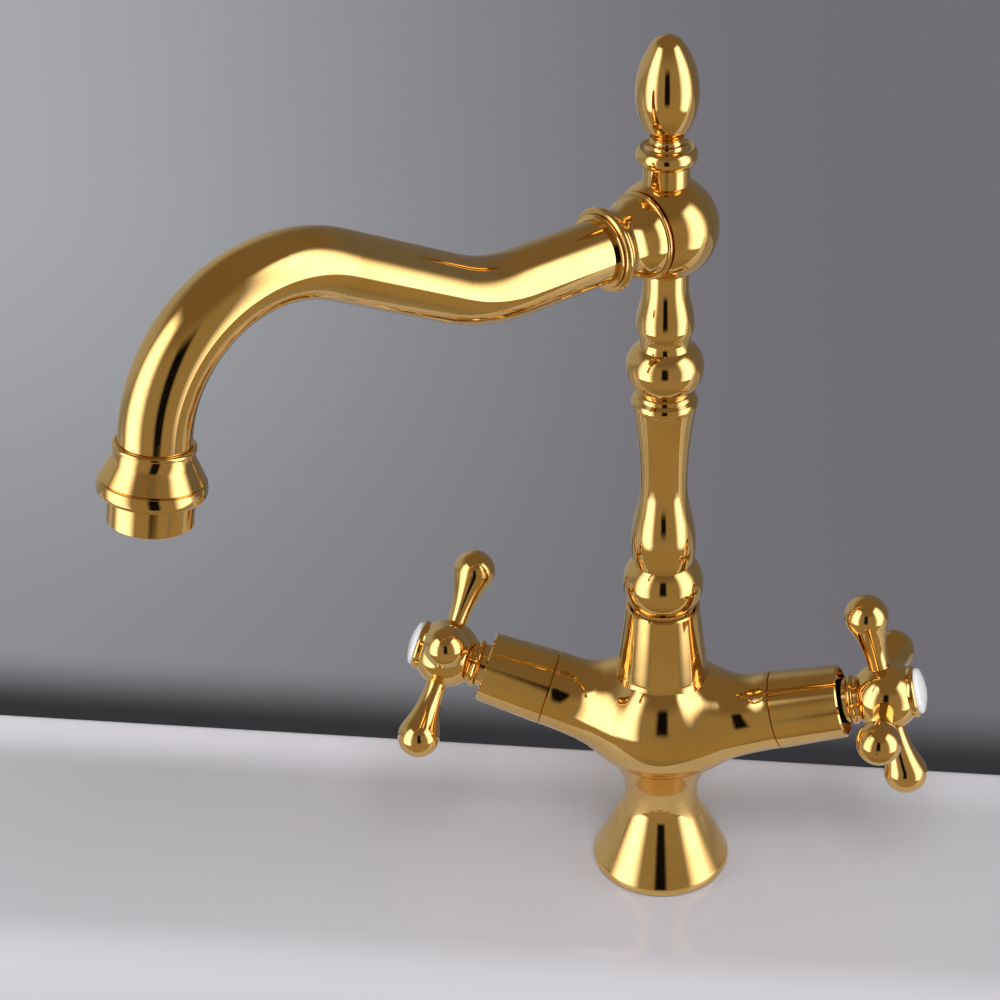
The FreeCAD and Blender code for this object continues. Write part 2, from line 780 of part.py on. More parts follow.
def make_column_shaft():
    column_low = n.riser_top_z + n.bearing_thick + n.swivel_gap
    ball_low_z = n.ball_z - root(n.ball_r * n.ball_r - n.groove_r * n.groove_r)
    lock_half = n.set_screw_r + n.free_gap
    corners = [(LINE, n.water_r, n.spigot_z), (LINE, n.spigot_r, n.spigot_z)]
    corners += groove(n.spigot_r, oring_groove_r, n.oring_low_z, oring_groove_half)
    corners += groove(n.spigot_r, n.spigot_r - n.lock_groove_depth, n.lock_groove_z, lock_half)
    corners += groove(n.spigot_r, oring_groove_r, n.oring_high_z, oring_groove_half)
    corners += [
        (LINE, n.spigot_r, column_low),
        (LINE, n.groove_r, column_low),
        (LINE, n.groove_r, ball_low_z),
        (ARRIVES_UPRIGHT, n.ball_r, n.ball_z),
        (LEAVES_UPRIGHT, n.ball_top_r, n.ball_top_z),
        (ARRIVES_UPRIGHT, n.belly_r, n.belly_z),
        (LEAVES_UPRIGHT, halfway(n.belly_r, n.shaft_r), halfway(n.belly_z, n.shaft_z)),
        (ARRIVES_UPRIGHT, n.shaft_r, n.shaft_z),
        (LEAVES_UPRIGHT, n.shaft_top_r, n.shaft_top_z),
        (LINE, n.joint_r, n.shaft_top_z),
        (LINE, n.joint_r, n.shaft_top_z + n.joint_length),
        (LINE, n.water_r, n.shaft_top_z + n.joint_length),
    ]
    return turned("column_shaft", corners)


head_spigot_r = n.joint_r - n.joint_wall
head_low_z = n.head_z - root(n.head_r * n.head_r - n.vase_neck_r * n.vase_neck_r)
head_high_z = n.head_z + root(n.head_r * n.head_r - n.finial_neck_r * n.finial_neck_r)


def make_column_knop():
    low = n.shaft_top_z + n.seat_gap
    socket_top = n.shaft_top_z + n.joint_length + n.seat_gap
    grooved_low = n.band_z + n.band_groove * 3
    corners = [
        (LINE, n.joint_r + n.thread_gap, low),
        (LINE, n.shaft_top_r, low),
        (ARRIVES_UPRIGHT, n.band_r, halfway(low, n.band_z)),
        (LEAVES_UPRIGHT, n.band_r - n.band_groove, n.band_z),
    ]
    corners += [
        (LINE, n.band_r - n.band_groove * 4, grooved_low),
        (LINE, n.band_r - n.band_groove * 3, grooved_low + n.band_groove),
        (LINE, n.band_r - n.band_groove * 4, grooved_low + n.band_groove * 4),
        (LINE, n.band_r - n.band_groove * 3, grooved_low + n.band_groove * 5),
        (LINE, n.band_top_r, n.band_top_z),
        (ARRIVES_UPRIGHT, n.knop_r, n.knop_z),
        (LEAVES_UPRIGHT, n.knop_top_r, n.knop_top_z),
        (ARRIVES_UPRIGHT, n.scotia_r, n.scotia_z),
        (LEAVES_UPRIGHT, halfway(n.scotia_r, n.vase_r), halfway(n.scotia_z, n.vase_z)),
        (ARRIVES_UPRIGHT, n.vase_r, n.vase_z),
        (LEAVES_UPRIGHT, halfway(n.vase_r, n.vase_neck_r), halfway(n.vase_z, n.vase_neck_z)),
        (ARRIVES_UPRIGHT, n.vase_neck_r, n.vase_neck_z),
        (LINE, n.vase_neck_r, head_low_z - n.seat_gap),
        (LINE, head_spigot_r, head_low_z - n.seat_gap),
        (LINE, head_spigot_r, head_low_z + n.joint_length),
        (LINE, n.water_r, head_low_z + n.joint_length),
        (LINE, n.water_r, socket_top),
        (LINE, n.joint_r + n.thread_gap, socket_top),
    ]
    return turned("column_knop", corners)


def make_spigot_orings():
    rings = [donut("spigot_oring_%s" % which, oring_centre_r, n.oring_section_r, at(0, 0, z))
             for which, z in (("low", n.oring_low_z), ("high", n.oring_high_z))]
    group = doc.addObject("Part::Compound", "spigot_orings")
    group.Links = rings
    return group


# Head and finial

def make_head_ball():
    ball = turned("head_blank", [
        (LINE, head_spigot_r + n.thread_gap, head_low_z),
        (LINE, n.vase_neck_r, head_low_z),
        (ARRIVES_UPRIGHT, n.head_r, n.head_z),
        (LEAVES_UPRIGHT, n.finial_neck_r, head_high_z),
        (LINE, n.finial_stem_r + n.thread_gap, head_high_z),
        (LINE, n.finial_stem_r + n.thread_gap, head_high_z - n.finial_stem_length - n.seat_gap),
        (LINE, head_spigot_r + n.thread_gap, head_high_z - n.finial_stem_length - n.seat_gap),
    ])
    port = rod("head_port", n.port_r + n.thread_gap, n.head_r, spout_axis_place)
    face = rod("head_port_face", n.head_r, n.head_r, spout_axis_place * at(0, 0, n.head_face_d))
    return cut_from("head_ball", ball, [port, face])


def make_finial_base():
    ring_low = n.finial_ring_z - n.finial_ring_half
    low = head_high_z + n.seat_gap
    return turned("finial_base", [
        (LINE, ZERO, head_high_z - n.finial_stem_length),
        (LINE, n.finial_stem_r, head_high_z - n.finial_stem_length),
        (LINE, n.finial_stem_r, low),
        (LINE, n.finial_neck_r, low),
        (LINE, n.finial_neck_r, ring_low),
        (ARRIVES_UPRIGHT, n.finial_ring_r, n.finial_ring_z),
        (LEAVES_UPRIGHT, n.finial_cove_r, n.finial_cove_z),
        (ARRIVES_UPRIGHT, n.finial_bead_r + n.free_gap, n.finial_base_top_z),
        (LINE, n.finial_stem_r + n.thread_gap, n.finial_base_top_z),
        (LINE, n.finial_stem_r + n.thread_gap, ring_low),
        (LINE, ZERO, ring_low),
    ])


def make_finial_knob():
    tall = n.finial_tip_z - n.finial_z
    side_r = (n.finial_r * n.finial_r + (tall - n.finial_tip_r) * (tall - n.finial_tip_r)
              - n.finial_tip_r * n.finial_tip_r) / (2 * (n.finial_r - n.finial_tip_r))
    share = n.finial_tip_r / (side_r - n.finial_tip_r)
    shoulder_r = (side_r - n.finial_r) * share
    shoulder_z = n.finial_tip_z - n.finial_tip_r + (tall - n.finial_tip_r) * share
    low = n.finial_base_top_z + n.seat_gap
    stem_low = n.finial_ring_z - n.finial_ring_half + n.seat_gap
    return turned("finial_knob", [
        (LINE, ZERO, stem_low),
        (LINE, n.finial_stem_r, stem_low),
        (LINE, n.finial_stem_r, low),
        (LINE, n.finial_waist_r, low),
        (ARRIVES_UPRIGHT, n.finial_bead_r, n.finial_bead_z),
        (LEAVES_UPRIGHT, n.finial_waist_r, n.finial_waist_z),
        (ARRIVES_UPRIGHT, n.finial_r, n.finial_z),
        (LEAVES_UPRIGHT, shoulder_r, shoulder_z),
        (ARRIVES_FLAT, ZERO, n.finial_tip_z),
    ])


# Spout

nipple_r = n.tube_r - n.tube_wall - n.fit_gap
nipple_end_d = n.tube_d + n.nipple_length
collar_end_d = n.collar_d + n.collar_ridge + n.collar_step * 2
seal_section_r = n.oring_section_r * 0.8
seal_centre_r = nipple_r + n.fit_gap / 2 - seal_section_r
seal_d = nipple_end_d - seal_section_r * 3


def make_adapter():
    """The tail piece on the head: a groove and a fine rim, an ogee and a nipple for the tube."""
    bore_r = nipple_r - seal_section_r * 2 - n.tube_wall
    seal_floor_r = seal_centre_r - seal_section_r - n.fit_gap / 2
    ogee_r = halfway(n.adapter_barrel_r, n.adapter_neck_r)
    ogee_d = halfway(n.adapter_rim_end_d, n.adapter_neck_d)
    corners = [
        (LINE, bore_r, n.port_d),
        (LINE, n.port_r, n.port_d),
        (LINE, n.port_r, n.head_face_d + n.seat_gap),
        (LINE, n.adapter_groove_r, n.head_face_d + n.seat_gap),
        (LINE, n.adapter_groove_r, n.adapter_rim_d),
        (ARRIVES_UPRIGHT, n.adapter_rim_r, halfway(n.adapter_rim_d, n.adapter_rim_end_d)),
        (LEAVES_UPRIGHT, n.adapter_barrel_r, n.adapter_rim_end_d),
        (LEAVES_UPRIGHT, ogee_r, ogee_d),
        (ARRIVES_UPRIGHT, n.adapter_neck_r, n.adapter_neck_d),
        (LEAVES_UPRIGHT, n.adapter_lip_r, n.collar_d - n.seat_gap),
        (LINE, nipple_r, n.collar_d - n.seat_gap),
    ]
    corners += groove(nipple_r, seal_floor_r, seal_d, seal_section_r + n.fit_gap)
    corners += [(LINE, nipple_r, nipple_end_d), (LINE, bore_r, nipple_end_d)]
    return turned("spout_adapter", corners, spout_axis_place)


def make_collar():
    """The nut on the tube's end: a step, a round flange and a second step."""
    ridge_low = n.collar_d + n.collar_step
    ridge_high = ridge_low + n.collar_ridge
    shoulder_r = nipple_r + n.fit_gap
    return turned("spout_collar", [
        (LINE, shoulder_r, n.collar_d),
        (LINE, n.adapter_lip_r, n.collar_d),
        (ARRIVES_UPRIGHT, n.collar_step_r, halfway(n.collar_d, ridge_low)),
        (LEAVES_UPRIGHT, n.adapter_lip_r, ridge_low),
        (ARRIVES_UPRIGHT, n.collar_r, halfway(ridge_low, ridge_high)),
        (LEAVES_UPRIGHT, n.adapter_lip_r, ridge_high),
        (ARRIVES_UPRIGHT, n.collar_step_r, halfway(ridge_high, collar_end_d)),
        (LEAVES_UPRIGHT, n.adapter_lip_r, collar_end_d),
        (LINE, n.tube_r + n.fit_gap, collar_end_d),
        (LINE, n.tube_r + n.fit_gap, n.tube_d - n.seat_gap),
        (LINE, shoulder_r, n.tube_d - n.seat_gap),
    ], spout_axis_place)


def make_tube_seal():
    return donut("tube_seal", seal_centre_r, seal_section_r, spout_axis_place * at(0, 0, seal_d))


def tube_route():
    """Corners of the tube's centre line in the spout's upright plane, and its end."""
    arch_z = n.crest_z - n.arch_r
    rise_d = n.crest_d - n.arch_r * sine(n.kink_angle)
    rise_z = arch_z + n.arch_r * cosine(n.kink_angle)
    bend_rise = n.kink_r * (1 - cosine(n.kink_angle))
    run = (rise_z - n.head_z - bend_rise) / sine(n.kink_angle)
    bend_d = rise_d - run * cosine(n.kink_angle)
    start_d = bend_d - n.kink_r * sine(n.kink_angle)
    fall_d = n.crest_d + n.arch_r * sine(n.arch_angle)
    fall_z = arch_z + n.arch_r * cosine(n.arch_angle)
    end_d = fall_d + n.tube_stub * cosine(n.arch_angle)
    end_z = fall_z - n.tube_stub * sine(n.arch_angle)
    corners = [
        (LINE, n.tube_d, n.head_z),
        (LINE, start_d, n.head_z),
        (LEAVES_FLAT, bend_d, n.head_z + bend_rise),
        (LINE, rise_d, rise_z),
        (ARRIVES_FLAT, n.crest_d, n.crest_z),
        (LEAVES_FLAT, fall_d, fall_z),
        (LINE, end_d, end_z),
    ]
    return corners, end_d, end_z


def make_tube():
    corners, _, _ = tube_route()
    body = doc.addObject("PartDesign::Body", "spout_tube")
    route = new_sketch(body, "tube_route", "XZ_Plane")
    draw(route, corners, closed=False)
    for name, kind, radius in (("tube_outside", "PartDesign::AdditivePipe", n.tube_r),
                               ("tube_bore", "PartDesign::SubtractivePipe", n.tube_r - n.tube_wall)):
        section = new_sketch(body, name + "_section", "YZ_Plane")
        section.AttachmentOffset = at(0, 0, n.tube_d)
        section.setExpression("AttachmentOffset.Base.z", n.tube_d.text)
        circle = section.addGeometry(Part.Circle(Vector(0, float(n.head_z), 0), Z_AXIS, float(radius)))
        section.addConstraint(Sketcher.Constraint("PointOnObject", circle, 3, -2))
        height = section.addConstraint(Sketcher.Constraint("DistanceY", -1, 1, circle, 3, float(n.head_z)))
        section.setExpression("Constraints[%d]" % height, n.head_z.text)
        size = section.addConstraint(Sketcher.Constraint("Radius", circle, float(radius)))
        section.setExpression("Constraints[%d]" % size, radius.text)
        pipe = body.newObject(kind, name)
        pipe.Profile = section
        pipe.Spine = (route, [""])
        body.Tip = pipe
        doc.recompute()
    body.Placement = spout_place
    return body


_, outlet_d, outlet_z = tube_route()
bell_low = n.aerator_length
bell_high = bell_low + n.bell_height
tube_end_height = bell_high - n.bell_socket
outlet_tilt = float(n.arch_angle) - 90
outlet_place = (spout_place * at(outlet_d, 0, outlet_z) * about(Y_AXIS, outlet_tilt)
                * at(0, 0, -float(tube_end_height)))


def make_bell():
    """The flared bell: a bead on the tube, a cone, and a ring with a fine line above it."""
    bead_mid = bell_high - n.bell_bead_height / 2
    throat = bell_high - n.bell_bead_height
    ring_high = bell_low + n.bell_ring_height
    ring_mid = bell_low + n.bell_ring_mid
    line_depth = n.band_groove
    cone_r = n.bell_ring_r - line_depth * 2
    cone_low = ring_high + line_depth * 2
    thread_top = bell_low + n.aerator_thread + n.seat_gap
    return turned("outlet_bell", [
        (LINE, n.aerator_thread_r + n.thread_gap, bell_low),
        (LINE, n.bell_foot_r, bell_low),
        (ARRIVES_UPRIGHT, n.bell_ring_r, ring_mid),
        (LEAVES_UPRIGHT, n.bell_ring_r - line_depth, ring_high),
        (LINE, n.bell_ring_r - line_depth * 3, ring_high + line_depth),
        (LINE, cone_r, cone_low),
        (LINE, n.bell_cone_r, cone_low + n.bell_cone_rise),
        (ARRIVES_UPRIGHT, n.bell_throat_r, throat),
        (LEAVES_FLAT, n.bell_bead_r, bead_mid),
        (LEAVES_UPRIGHT, n.tube_r + n.fit_gap, bell_high),
        (LINE, n.tube_r + n.fit_gap, tube_end_height - n.seat_gap),
        (LINE, n.tube_r - n.tube_wall, tube_end_height - n.seat_gap),
        (LINE, n.tube_r - n.tube_wall, thread_top),
        (LINE, n.aerator_thread_r + n.thread_gap, thread_top),
    ], outlet_place)


def make_aerator():
    shoulder = bell_low - n.seat_gap
    top = bell_low + n.aerator_thread - n.washer_thick - n.seat_gap
    bore_r = n.aerator_r - n.aerator_wall * 2
    lip_r = n.insert_r + n.seat_gap
    edge = n.seat_gap * 8
    housing = turned("aerator_housing", [
        (LINE, bore_r, n.aerator_wall),
        (LINE, bore_r, edge),
        (LINE, bore_r + edge, ZERO),
        (LINE, n.aerator_r - edge, ZERO),
        (LINE, n.aerator_r, edge),
        (LINE, n.aerator_r, shoulder),
        (LINE, n.aerator_thread_r, shoulder),
        (LINE, n.aerator_thread_r, top),
        (LINE, lip_r, top),
        (LINE, lip_r, n.aerator_wall),
    ], outlet_place)
    insert_low = n.aerator_wall + n.seat_gap
    insert = turned("aerator_insert", [
        (LINE, ZERO, insert_low),
        (LINE, n.insert_r, insert_low),
        (LINE, n.insert_r, top),
        (LINE, ZERO, top),
    ], outlet_place)
    washer_low = top + n.seat_gap
    washer = ring("aerator_washer", n.insert_r - n.aerator_wall, n.aerator_thread_r - n.fit_gap,
                  washer_low, washer_low + n.washer_thick - n.seat_gap, outlet_place)
    return [housing, insert, washer]


# Valve sleeves and cartridges

fixed_disc_s = n.cartridge_s
moving_disc_s = fixed_disc_s + n.disc_thick + n.seat_gap
driver_s = moving_disc_s + n.disc_thick + n.seat_gap
cup_end_s = n.cartridge_s + n.cup_depth
flange_s = n.arm_s + n.seat_gap
ring_section_r = n.oring_section_r * 0.9
ring_centre_r = n.chamber_r - n.fit_gap - ring_section_r


def make_sleeve(side):
    low = n.arm_s + n.seat_gap
    edge = n.riser_chamfer
    lip_high = n.sleeve_s - n.sleeve_recess
    return turned(side + "_sleeve", [
        (LINE, n.sleeve_bore_r, low),
        (LINE, n.arm_r - edge, low),
        (LINE, n.arm_r, low + edge),
        (LINE, n.sleeve_end_r, n.sleeve_s - edge),
        (LINE, n.sleeve_end_r - edge, n.sleeve_s),
        (LINE, n.sleeve_recess_r, n.sleeve_s),
        (LINE, n.sleeve_recess_r, lip_high),
        (LINE, n.sleeve_mouth_r, lip_high),
        (LINE, n.sleeve_mouth_r, lip_high - n.sleeve_lip),
        (LINE, n.sleeve_bore_r, lip_high - n.sleeve_lip),
    ], valve_places[side])


def make_cartridge_body(side):
    barrel_r = n.chamber_r - n.thread_gap
    ring_floor_r = ring_centre_r - ring_section_r - n.fit_gap
    flange_end = flange_s + n.flange_height
    corners = [(LINE, n.cup_r, n.cartridge_s), (LINE, barrel_r, n.cartridge_s)]
    corners += groove(barrel_r, ring_floor_r, n.cartridge_ring_s, ring_section_r + n.fit_gap)
    corners += [
        (LINE, barrel_r, flange_s),
        (LINE, n.gland_r, flange_s),
        (LINE, n.gland_r, n.gland_s),
        (LINE, n.spindle_r + n.fit_gap, n.gland_s),
        (LINE, n.spindle_r + n.fit_gap, cup_end_s),
        (LINE, n.cup_r, cup_end_s),
    ]
    barrel = turned(side + "_cartridge_barrel", corners, valve_places[side])
    nut = hexagon(side + "_cartridge_hex", n.flange_flats, n.flange_height,
                  valve_places[side] * at(0, 0, flange_s))
    nut_bore = rod(side + "_cartridge_hex_bore", n.gland_r, n.flange_height * 3,
                   valve_places[side] * at(0, 0, flange_end - n.flange_height * 2))
    flange = cut_from(side + "_cartridge_flange", nut, [nut_bore])
    return joined(side + "_cartridge_body", [barrel, flange])


def make_valve_inside(side):
    place = valve_places[side]
    fixed_disc = ring(side + "_fixed_disc", n.water_r / 2, n.disc_r,
                      fixed_disc_s, fixed_disc_s + n.disc_thick, place)
    seal = ring(side + "_seat_seal", n.seal_r - n.seal_wall, n.seal_r,
                n.chamber_s + n.seat_gap, n.cartridge_s - n.seat_gap, place)
    oring = donut(side + "_cartridge_oring", ring_centre_r, ring_section_r,
                  place * at(0, 0, n.cartridge_ring_s))
    return [fixed_disc, seal, oring]


# Cross handles

def handle_place(side):
    return valve_places[side] * about(Z_AXIS, cross_angles[side])


def make_hub(side):
    neck_ball_s = n.hub_s - root(n.hub_r * n.hub_r - n.hub_neck_r * n.hub_neck_r)
    face_ball_s = n.hub_s + root(n.hub_r * n.hub_r - n.hub_face_r * n.hub_face_r)
    socket_end = n.spindle_s + n.seat_gap
    bead_low = n.hub_bead_s - n.hub_bead_half
    bead_high = n.hub_bead_s + n.hub_bead_half
    plug_floor = n.hub_face_s + n.bezel_thick - n.button_plug
    blank = turned(side + "_hub_blank", [
        (LINE, n.spindle_r + n.thread_gap, n.hub_neck_s),
        (LINE, n.hub_neck_r, n.hub_neck_s),
        (LINE, n.hub_neck_r, bead_low),
        (ARRIVES_UPRIGHT, n.hub_bead_r, n.hub_bead_s),
        (LEAVES_UPRIGHT, n.hub_neck_r, bead_high),
        (LINE, n.hub_neck_r, neck_ball_s),
        (ARRIVES_UPRIGHT, n.hub_r, n.hub_s),
        (LEAVES_UPRIGHT, n.hub_face_r, face_ball_s),
        (LINE, n.hub_face_r, n.hub_face_s),
        (LINE, n.bezel_bore_r, n.hub_face_s),
        (LINE, n.bezel_bore_r, plug_floor - n.seat_gap),
        (LINE, n.counterbore_r, plug_floor - n.seat_gap),
        (LINE, n.counterbore_r, n.counterbore_s),
        (LINE, n.handle_screw_r + n.thread_gap, n.counterbore_s),
        (LINE, n.handle_screw_r + n.thread_gap, socket_end),
        (LINE, n.spindle_r + n.thread_gap, socket_end),
    ], valve_places[side])
    tools = []
    for k in range(4):
        spoke = spoke_place(side, k)
        tools.append(rod("%s_spoke_seat_%d" % (side, k + 1), n.spoke_r + n.seat_gap * 2, n.hub_r,
                         spoke * at(0, 0, n.spoke_seat)))
        tools.append(rod("%s_spoke_hole_%d" % (side, k + 1), n.spoke_pin_r + n.thread_gap, n.hub_r,
                         spoke * at(0, 0, n.spoke_seat - n.spoke_pin_length - n.seat_gap)))
    return cut_from(side + "_handle_hub", blank, tools)


def spoke_place(side, k):
    return handle_place(side) * at(0, 0, n.hub_s) * about(Z_AXIS, 90 * k) * about(Y_AXIS, 90)


def make_spoke(side, k):
    seat = n.spoke_seat + n.seat_gap
    stem_end = seat + n.spoke_straight
    gap_up = n.spoke_length - stem_end
    flare_r = ((gap_up * gap_up + n.spoke_r * n.spoke_r - n.spoke_ball_r * n.spoke_ball_r)
               / (2 * (n.spoke_ball_r - n.spoke_r)))
    share = flare_r / (flare_r + n.spoke_ball_r)
    meet_r = (n.spoke_r + flare_r) * (1 - share)
    meet = stem_end + gap_up * share
    return turned("%s_spoke_%d" % (side, k + 1), [
        (LINE, ZERO, n.spoke_seat - n.spoke_pin_length),
        (LINE, n.spoke_pin_r, n.spoke_seat - n.spoke_pin_length),
        (LINE, n.spoke_pin_r, seat),
        (LINE, n.spoke_r, seat),
        (LINE, n.spoke_r, stem_end),
        (LEAVES_UPRIGHT, meet_r, meet),
        (ARRIVES_UPRIGHT, n.spoke_ball_r, n.spoke_length),
        (LEAVES_UPRIGHT, ZERO, n.spoke_length + n.spoke_ball_r),
    ], spoke_place(side, k))


def make_index(side):
    place = valve_places[side]
    low = n.hub_face_s + n.seat_gap
    high = n.hub_face_s + n.bezel_thick
    bezel = turned(side + "_index_bezel", [
        (LINE, n.bezel_bore_r, low),
        (LINE, n.hub_face_r, low),
        (ARRIVES_UPRIGHT, n.hub_face_r + n.bezel_thick / 8, halfway(low, high)),
        (LEAVES_UPRIGHT, n.hub_face_r - n.bezel_thick / 8, high),
        (LINE, n.bezel_bore_r, high),
    ], place)
    plug_r = n.bezel_bore_r - n.fit_gap
    rim = high + n.seat_gap
    button = turned(side + "_index_button", [
        (LINE, ZERO, high - n.button_plug),
        (LINE, plug_r, high - n.button_plug),
        (LINE, plug_r, rim),
        (LINE, n.button_r, rim),
        (LEAVES_UPRIGHT, n.button_r - n.button_rise / 4, rim + n.button_rise / 2),
        (ARRIVES_FLAT, ZERO, rim + n.button_rise),
    ], place)
    return [bezel, button]


def make_handle_screw(side):
    head_low = n.counterbore_s + n.seat_gap
    shank_end = head_low - n.screw_length
    return turned(side + "_handle_screw", [
        (LINE, ZERO, shank_end),
        (LINE, n.handle_screw_r, shank_end),
        (LINE, n.handle_screw_r, head_low),
        (LINE, n.screw_head_r, head_low),
        (LINE, n.screw_head_r, head_low + n.screw_head_height / 2),
        (ARRIVES_FLAT, ZERO, head_low + n.screw_head_height),
    ], valve_places[side])


clip_s = n.gland_s + n.free_gap
clip_groove_r = n.spindle_r - n.clip_thick


def make_spindle(side):
    """The driven stem: a driver for the moving disc, the stem, the clip's groove and a tapped end."""
    tap_r = n.handle_screw_r + n.thread_gap
    tap_floor = n.counterbore_s - n.screw_length - n.handle_screw_r
    return turned(side + "_spindle", [
        (LINE, ZERO, driver_s),
        (LINE, n.driver_r, driver_s),
        (LINE, n.driver_r, driver_s + n.driver_thick),
        (LINE, n.spindle_r, driver_s + n.driver_thick),
        (LINE, n.spindle_r, clip_s - n.seat_gap),
        (LINE, clip_groove_r, clip_s - n.seat_gap),
        (LINE, clip_groove_r, clip_s + n.clip_thick + n.seat_gap),
        (LINE, n.spindle_r, clip_s + n.clip_thick + n.seat_gap),
        (LINE, n.spindle_r, n.spindle_s),
        (LINE, tap_r, n.spindle_s),
        (LINE, tap_r, tap_floor),
        (LINE, ZERO, tap_floor),
    ], valve_places[side])


def make_driven(side):
    place = valve_places[side]
    moving_disc = turned(side + "_moving_disc", [
        (LINE, ZERO, moving_disc_s),
        (LINE, n.disc_r, moving_disc_s),
        (LINE, n.disc_r, moving_disc_s + n.disc_thick),
        (LINE, ZERO, moving_disc_s + n.disc_thick),
    ], place)
    whole = ring(side + "_clip_ring", clip_groove_r + n.seat_gap, n.clip_r,
                 clip_s, clip_s + n.clip_thick, place)
    mouth = block(side + "_clip_mouth", n.clip_r, clip_groove_r, n.clip_thick * 3,
                  place * at(0, -float(clip_groove_r) / 2, clip_s - n.clip_thick))
    return [moving_disc, cut_from(side + "_retaining_clip", whole, [mouth])]


def make_all():
    pieces = [make_foot(), make_gasket(), make_mixer_body()]
    pieces += make_fixing()
    pieces += make_swivel()
    pieces += [make_column_shaft(), make_column_knop(), make_spigot_orings()]
    pieces += [make_head_ball(), make_finial_base(), make_finial_knob()]
    pieces += [make_adapter(), make_collar(), make_tube_seal(), make_tube(), make_bell()]
    pieces += make_aerator()
    for side in ("hot", "cold"):
        pieces += [make_sleeve(side), make_cartridge_body(side)]
        pieces += make_valve_inside(side)
        pieces += [make_hub(side)]
        pieces += [make_spoke(side, k) for k in range(4)]
        pieces += make_index(side)
        pieces += [make_handle_screw(side), make_spindle(side)]
        pieces += make_driven(side)
    return pieces


def check_and_write(pieces):
    doc.recompute()
    for thing in doc.Objects:
        if "Invalid" in thing.State or "Error" in thing.State:
            raise RuntimeError("%s did not build" % thing.Label)
    os.makedirs("parts", exist_ok=True)
    for piece in pieces:
        if piece.Shape.isNull() or not piece.Shape.isValid():
            raise RuntimeError("%s has no sound shape" % piece.Label)
    for piece in pieces:
        piece.Shape.exportStep("parts/%s.step" % piece.Label)


check_and_write(make_all())
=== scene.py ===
import bpy
import json
import math
from mathutils import Matrix, Vector


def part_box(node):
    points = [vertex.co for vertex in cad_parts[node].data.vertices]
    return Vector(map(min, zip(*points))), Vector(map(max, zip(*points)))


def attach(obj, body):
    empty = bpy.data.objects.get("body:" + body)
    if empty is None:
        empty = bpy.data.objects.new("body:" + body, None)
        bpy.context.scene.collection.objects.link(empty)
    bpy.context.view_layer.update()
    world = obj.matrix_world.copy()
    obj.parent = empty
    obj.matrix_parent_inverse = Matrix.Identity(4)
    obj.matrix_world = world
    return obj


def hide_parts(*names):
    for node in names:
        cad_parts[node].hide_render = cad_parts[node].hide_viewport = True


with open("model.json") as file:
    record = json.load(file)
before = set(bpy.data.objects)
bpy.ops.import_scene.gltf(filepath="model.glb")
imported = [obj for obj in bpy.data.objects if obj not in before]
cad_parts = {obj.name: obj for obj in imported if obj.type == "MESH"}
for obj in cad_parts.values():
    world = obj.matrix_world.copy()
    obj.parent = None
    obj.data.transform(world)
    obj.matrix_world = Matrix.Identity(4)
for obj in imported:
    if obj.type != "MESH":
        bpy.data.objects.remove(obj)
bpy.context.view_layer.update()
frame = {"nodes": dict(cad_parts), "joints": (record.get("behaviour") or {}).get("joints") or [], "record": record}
nodes = frame["nodes"]
joints = {joint["name"]: joint for joint in frame["joints"]}
scene = bpy.context.scene
scene.view_settings.view_transform = "Standard"
MM = 0.001


# Camera at the picture's viewing angle

CAMERA_PLACE = Vector((0.0866, -0.6291, 0.5443))
CAMERA_TURN = math.radians(12.83)
CAMERA_DOWN = math.radians(31.44)
CAMERA_ROLL = math.radians(-2.10)
CAMERA_LENS = 79.2
CAMERA_SENSOR = 36.0
CAMERA_NEAR = 0.01


def camera_axes():
    """Right, up and forward of the camera."""
    forward = Vector((0, math.cos(CAMERA_DOWN), -math.sin(CAMERA_DOWN)))
    right = Vector((1, 0, 0))
    up = right.cross(forward)
    rolled_right = right * math.cos(CAMERA_ROLL) + up * math.sin(CAMERA_ROLL)
    rolled_up = up * math.cos(CAMERA_ROLL) - right * math.sin(CAMERA_ROLL)
    turn = Matrix.Rotation(CAMERA_TURN, 3, "Z")
    return turn @ rolled_right, turn @ rolled_up, turn @ forward


def add_camera():
    right, up, forward = camera_axes()
    data = bpy.data.cameras.new("camera")
    data.lens = CAMERA_LENS
    data.sensor_width = CAMERA_SENSOR
    data.clip_start = CAMERA_NEAR
    camera = bpy.data.objects.new("camera", data)
    scene.collection.objects.link(camera)
    turn = Matrix((right, up, -forward)).transposed().to_4x4()
    camera.matrix_world = Matrix.Translation(CAMERA_PLACE) @ turn
    scene.camera = camera


# Shader nodes

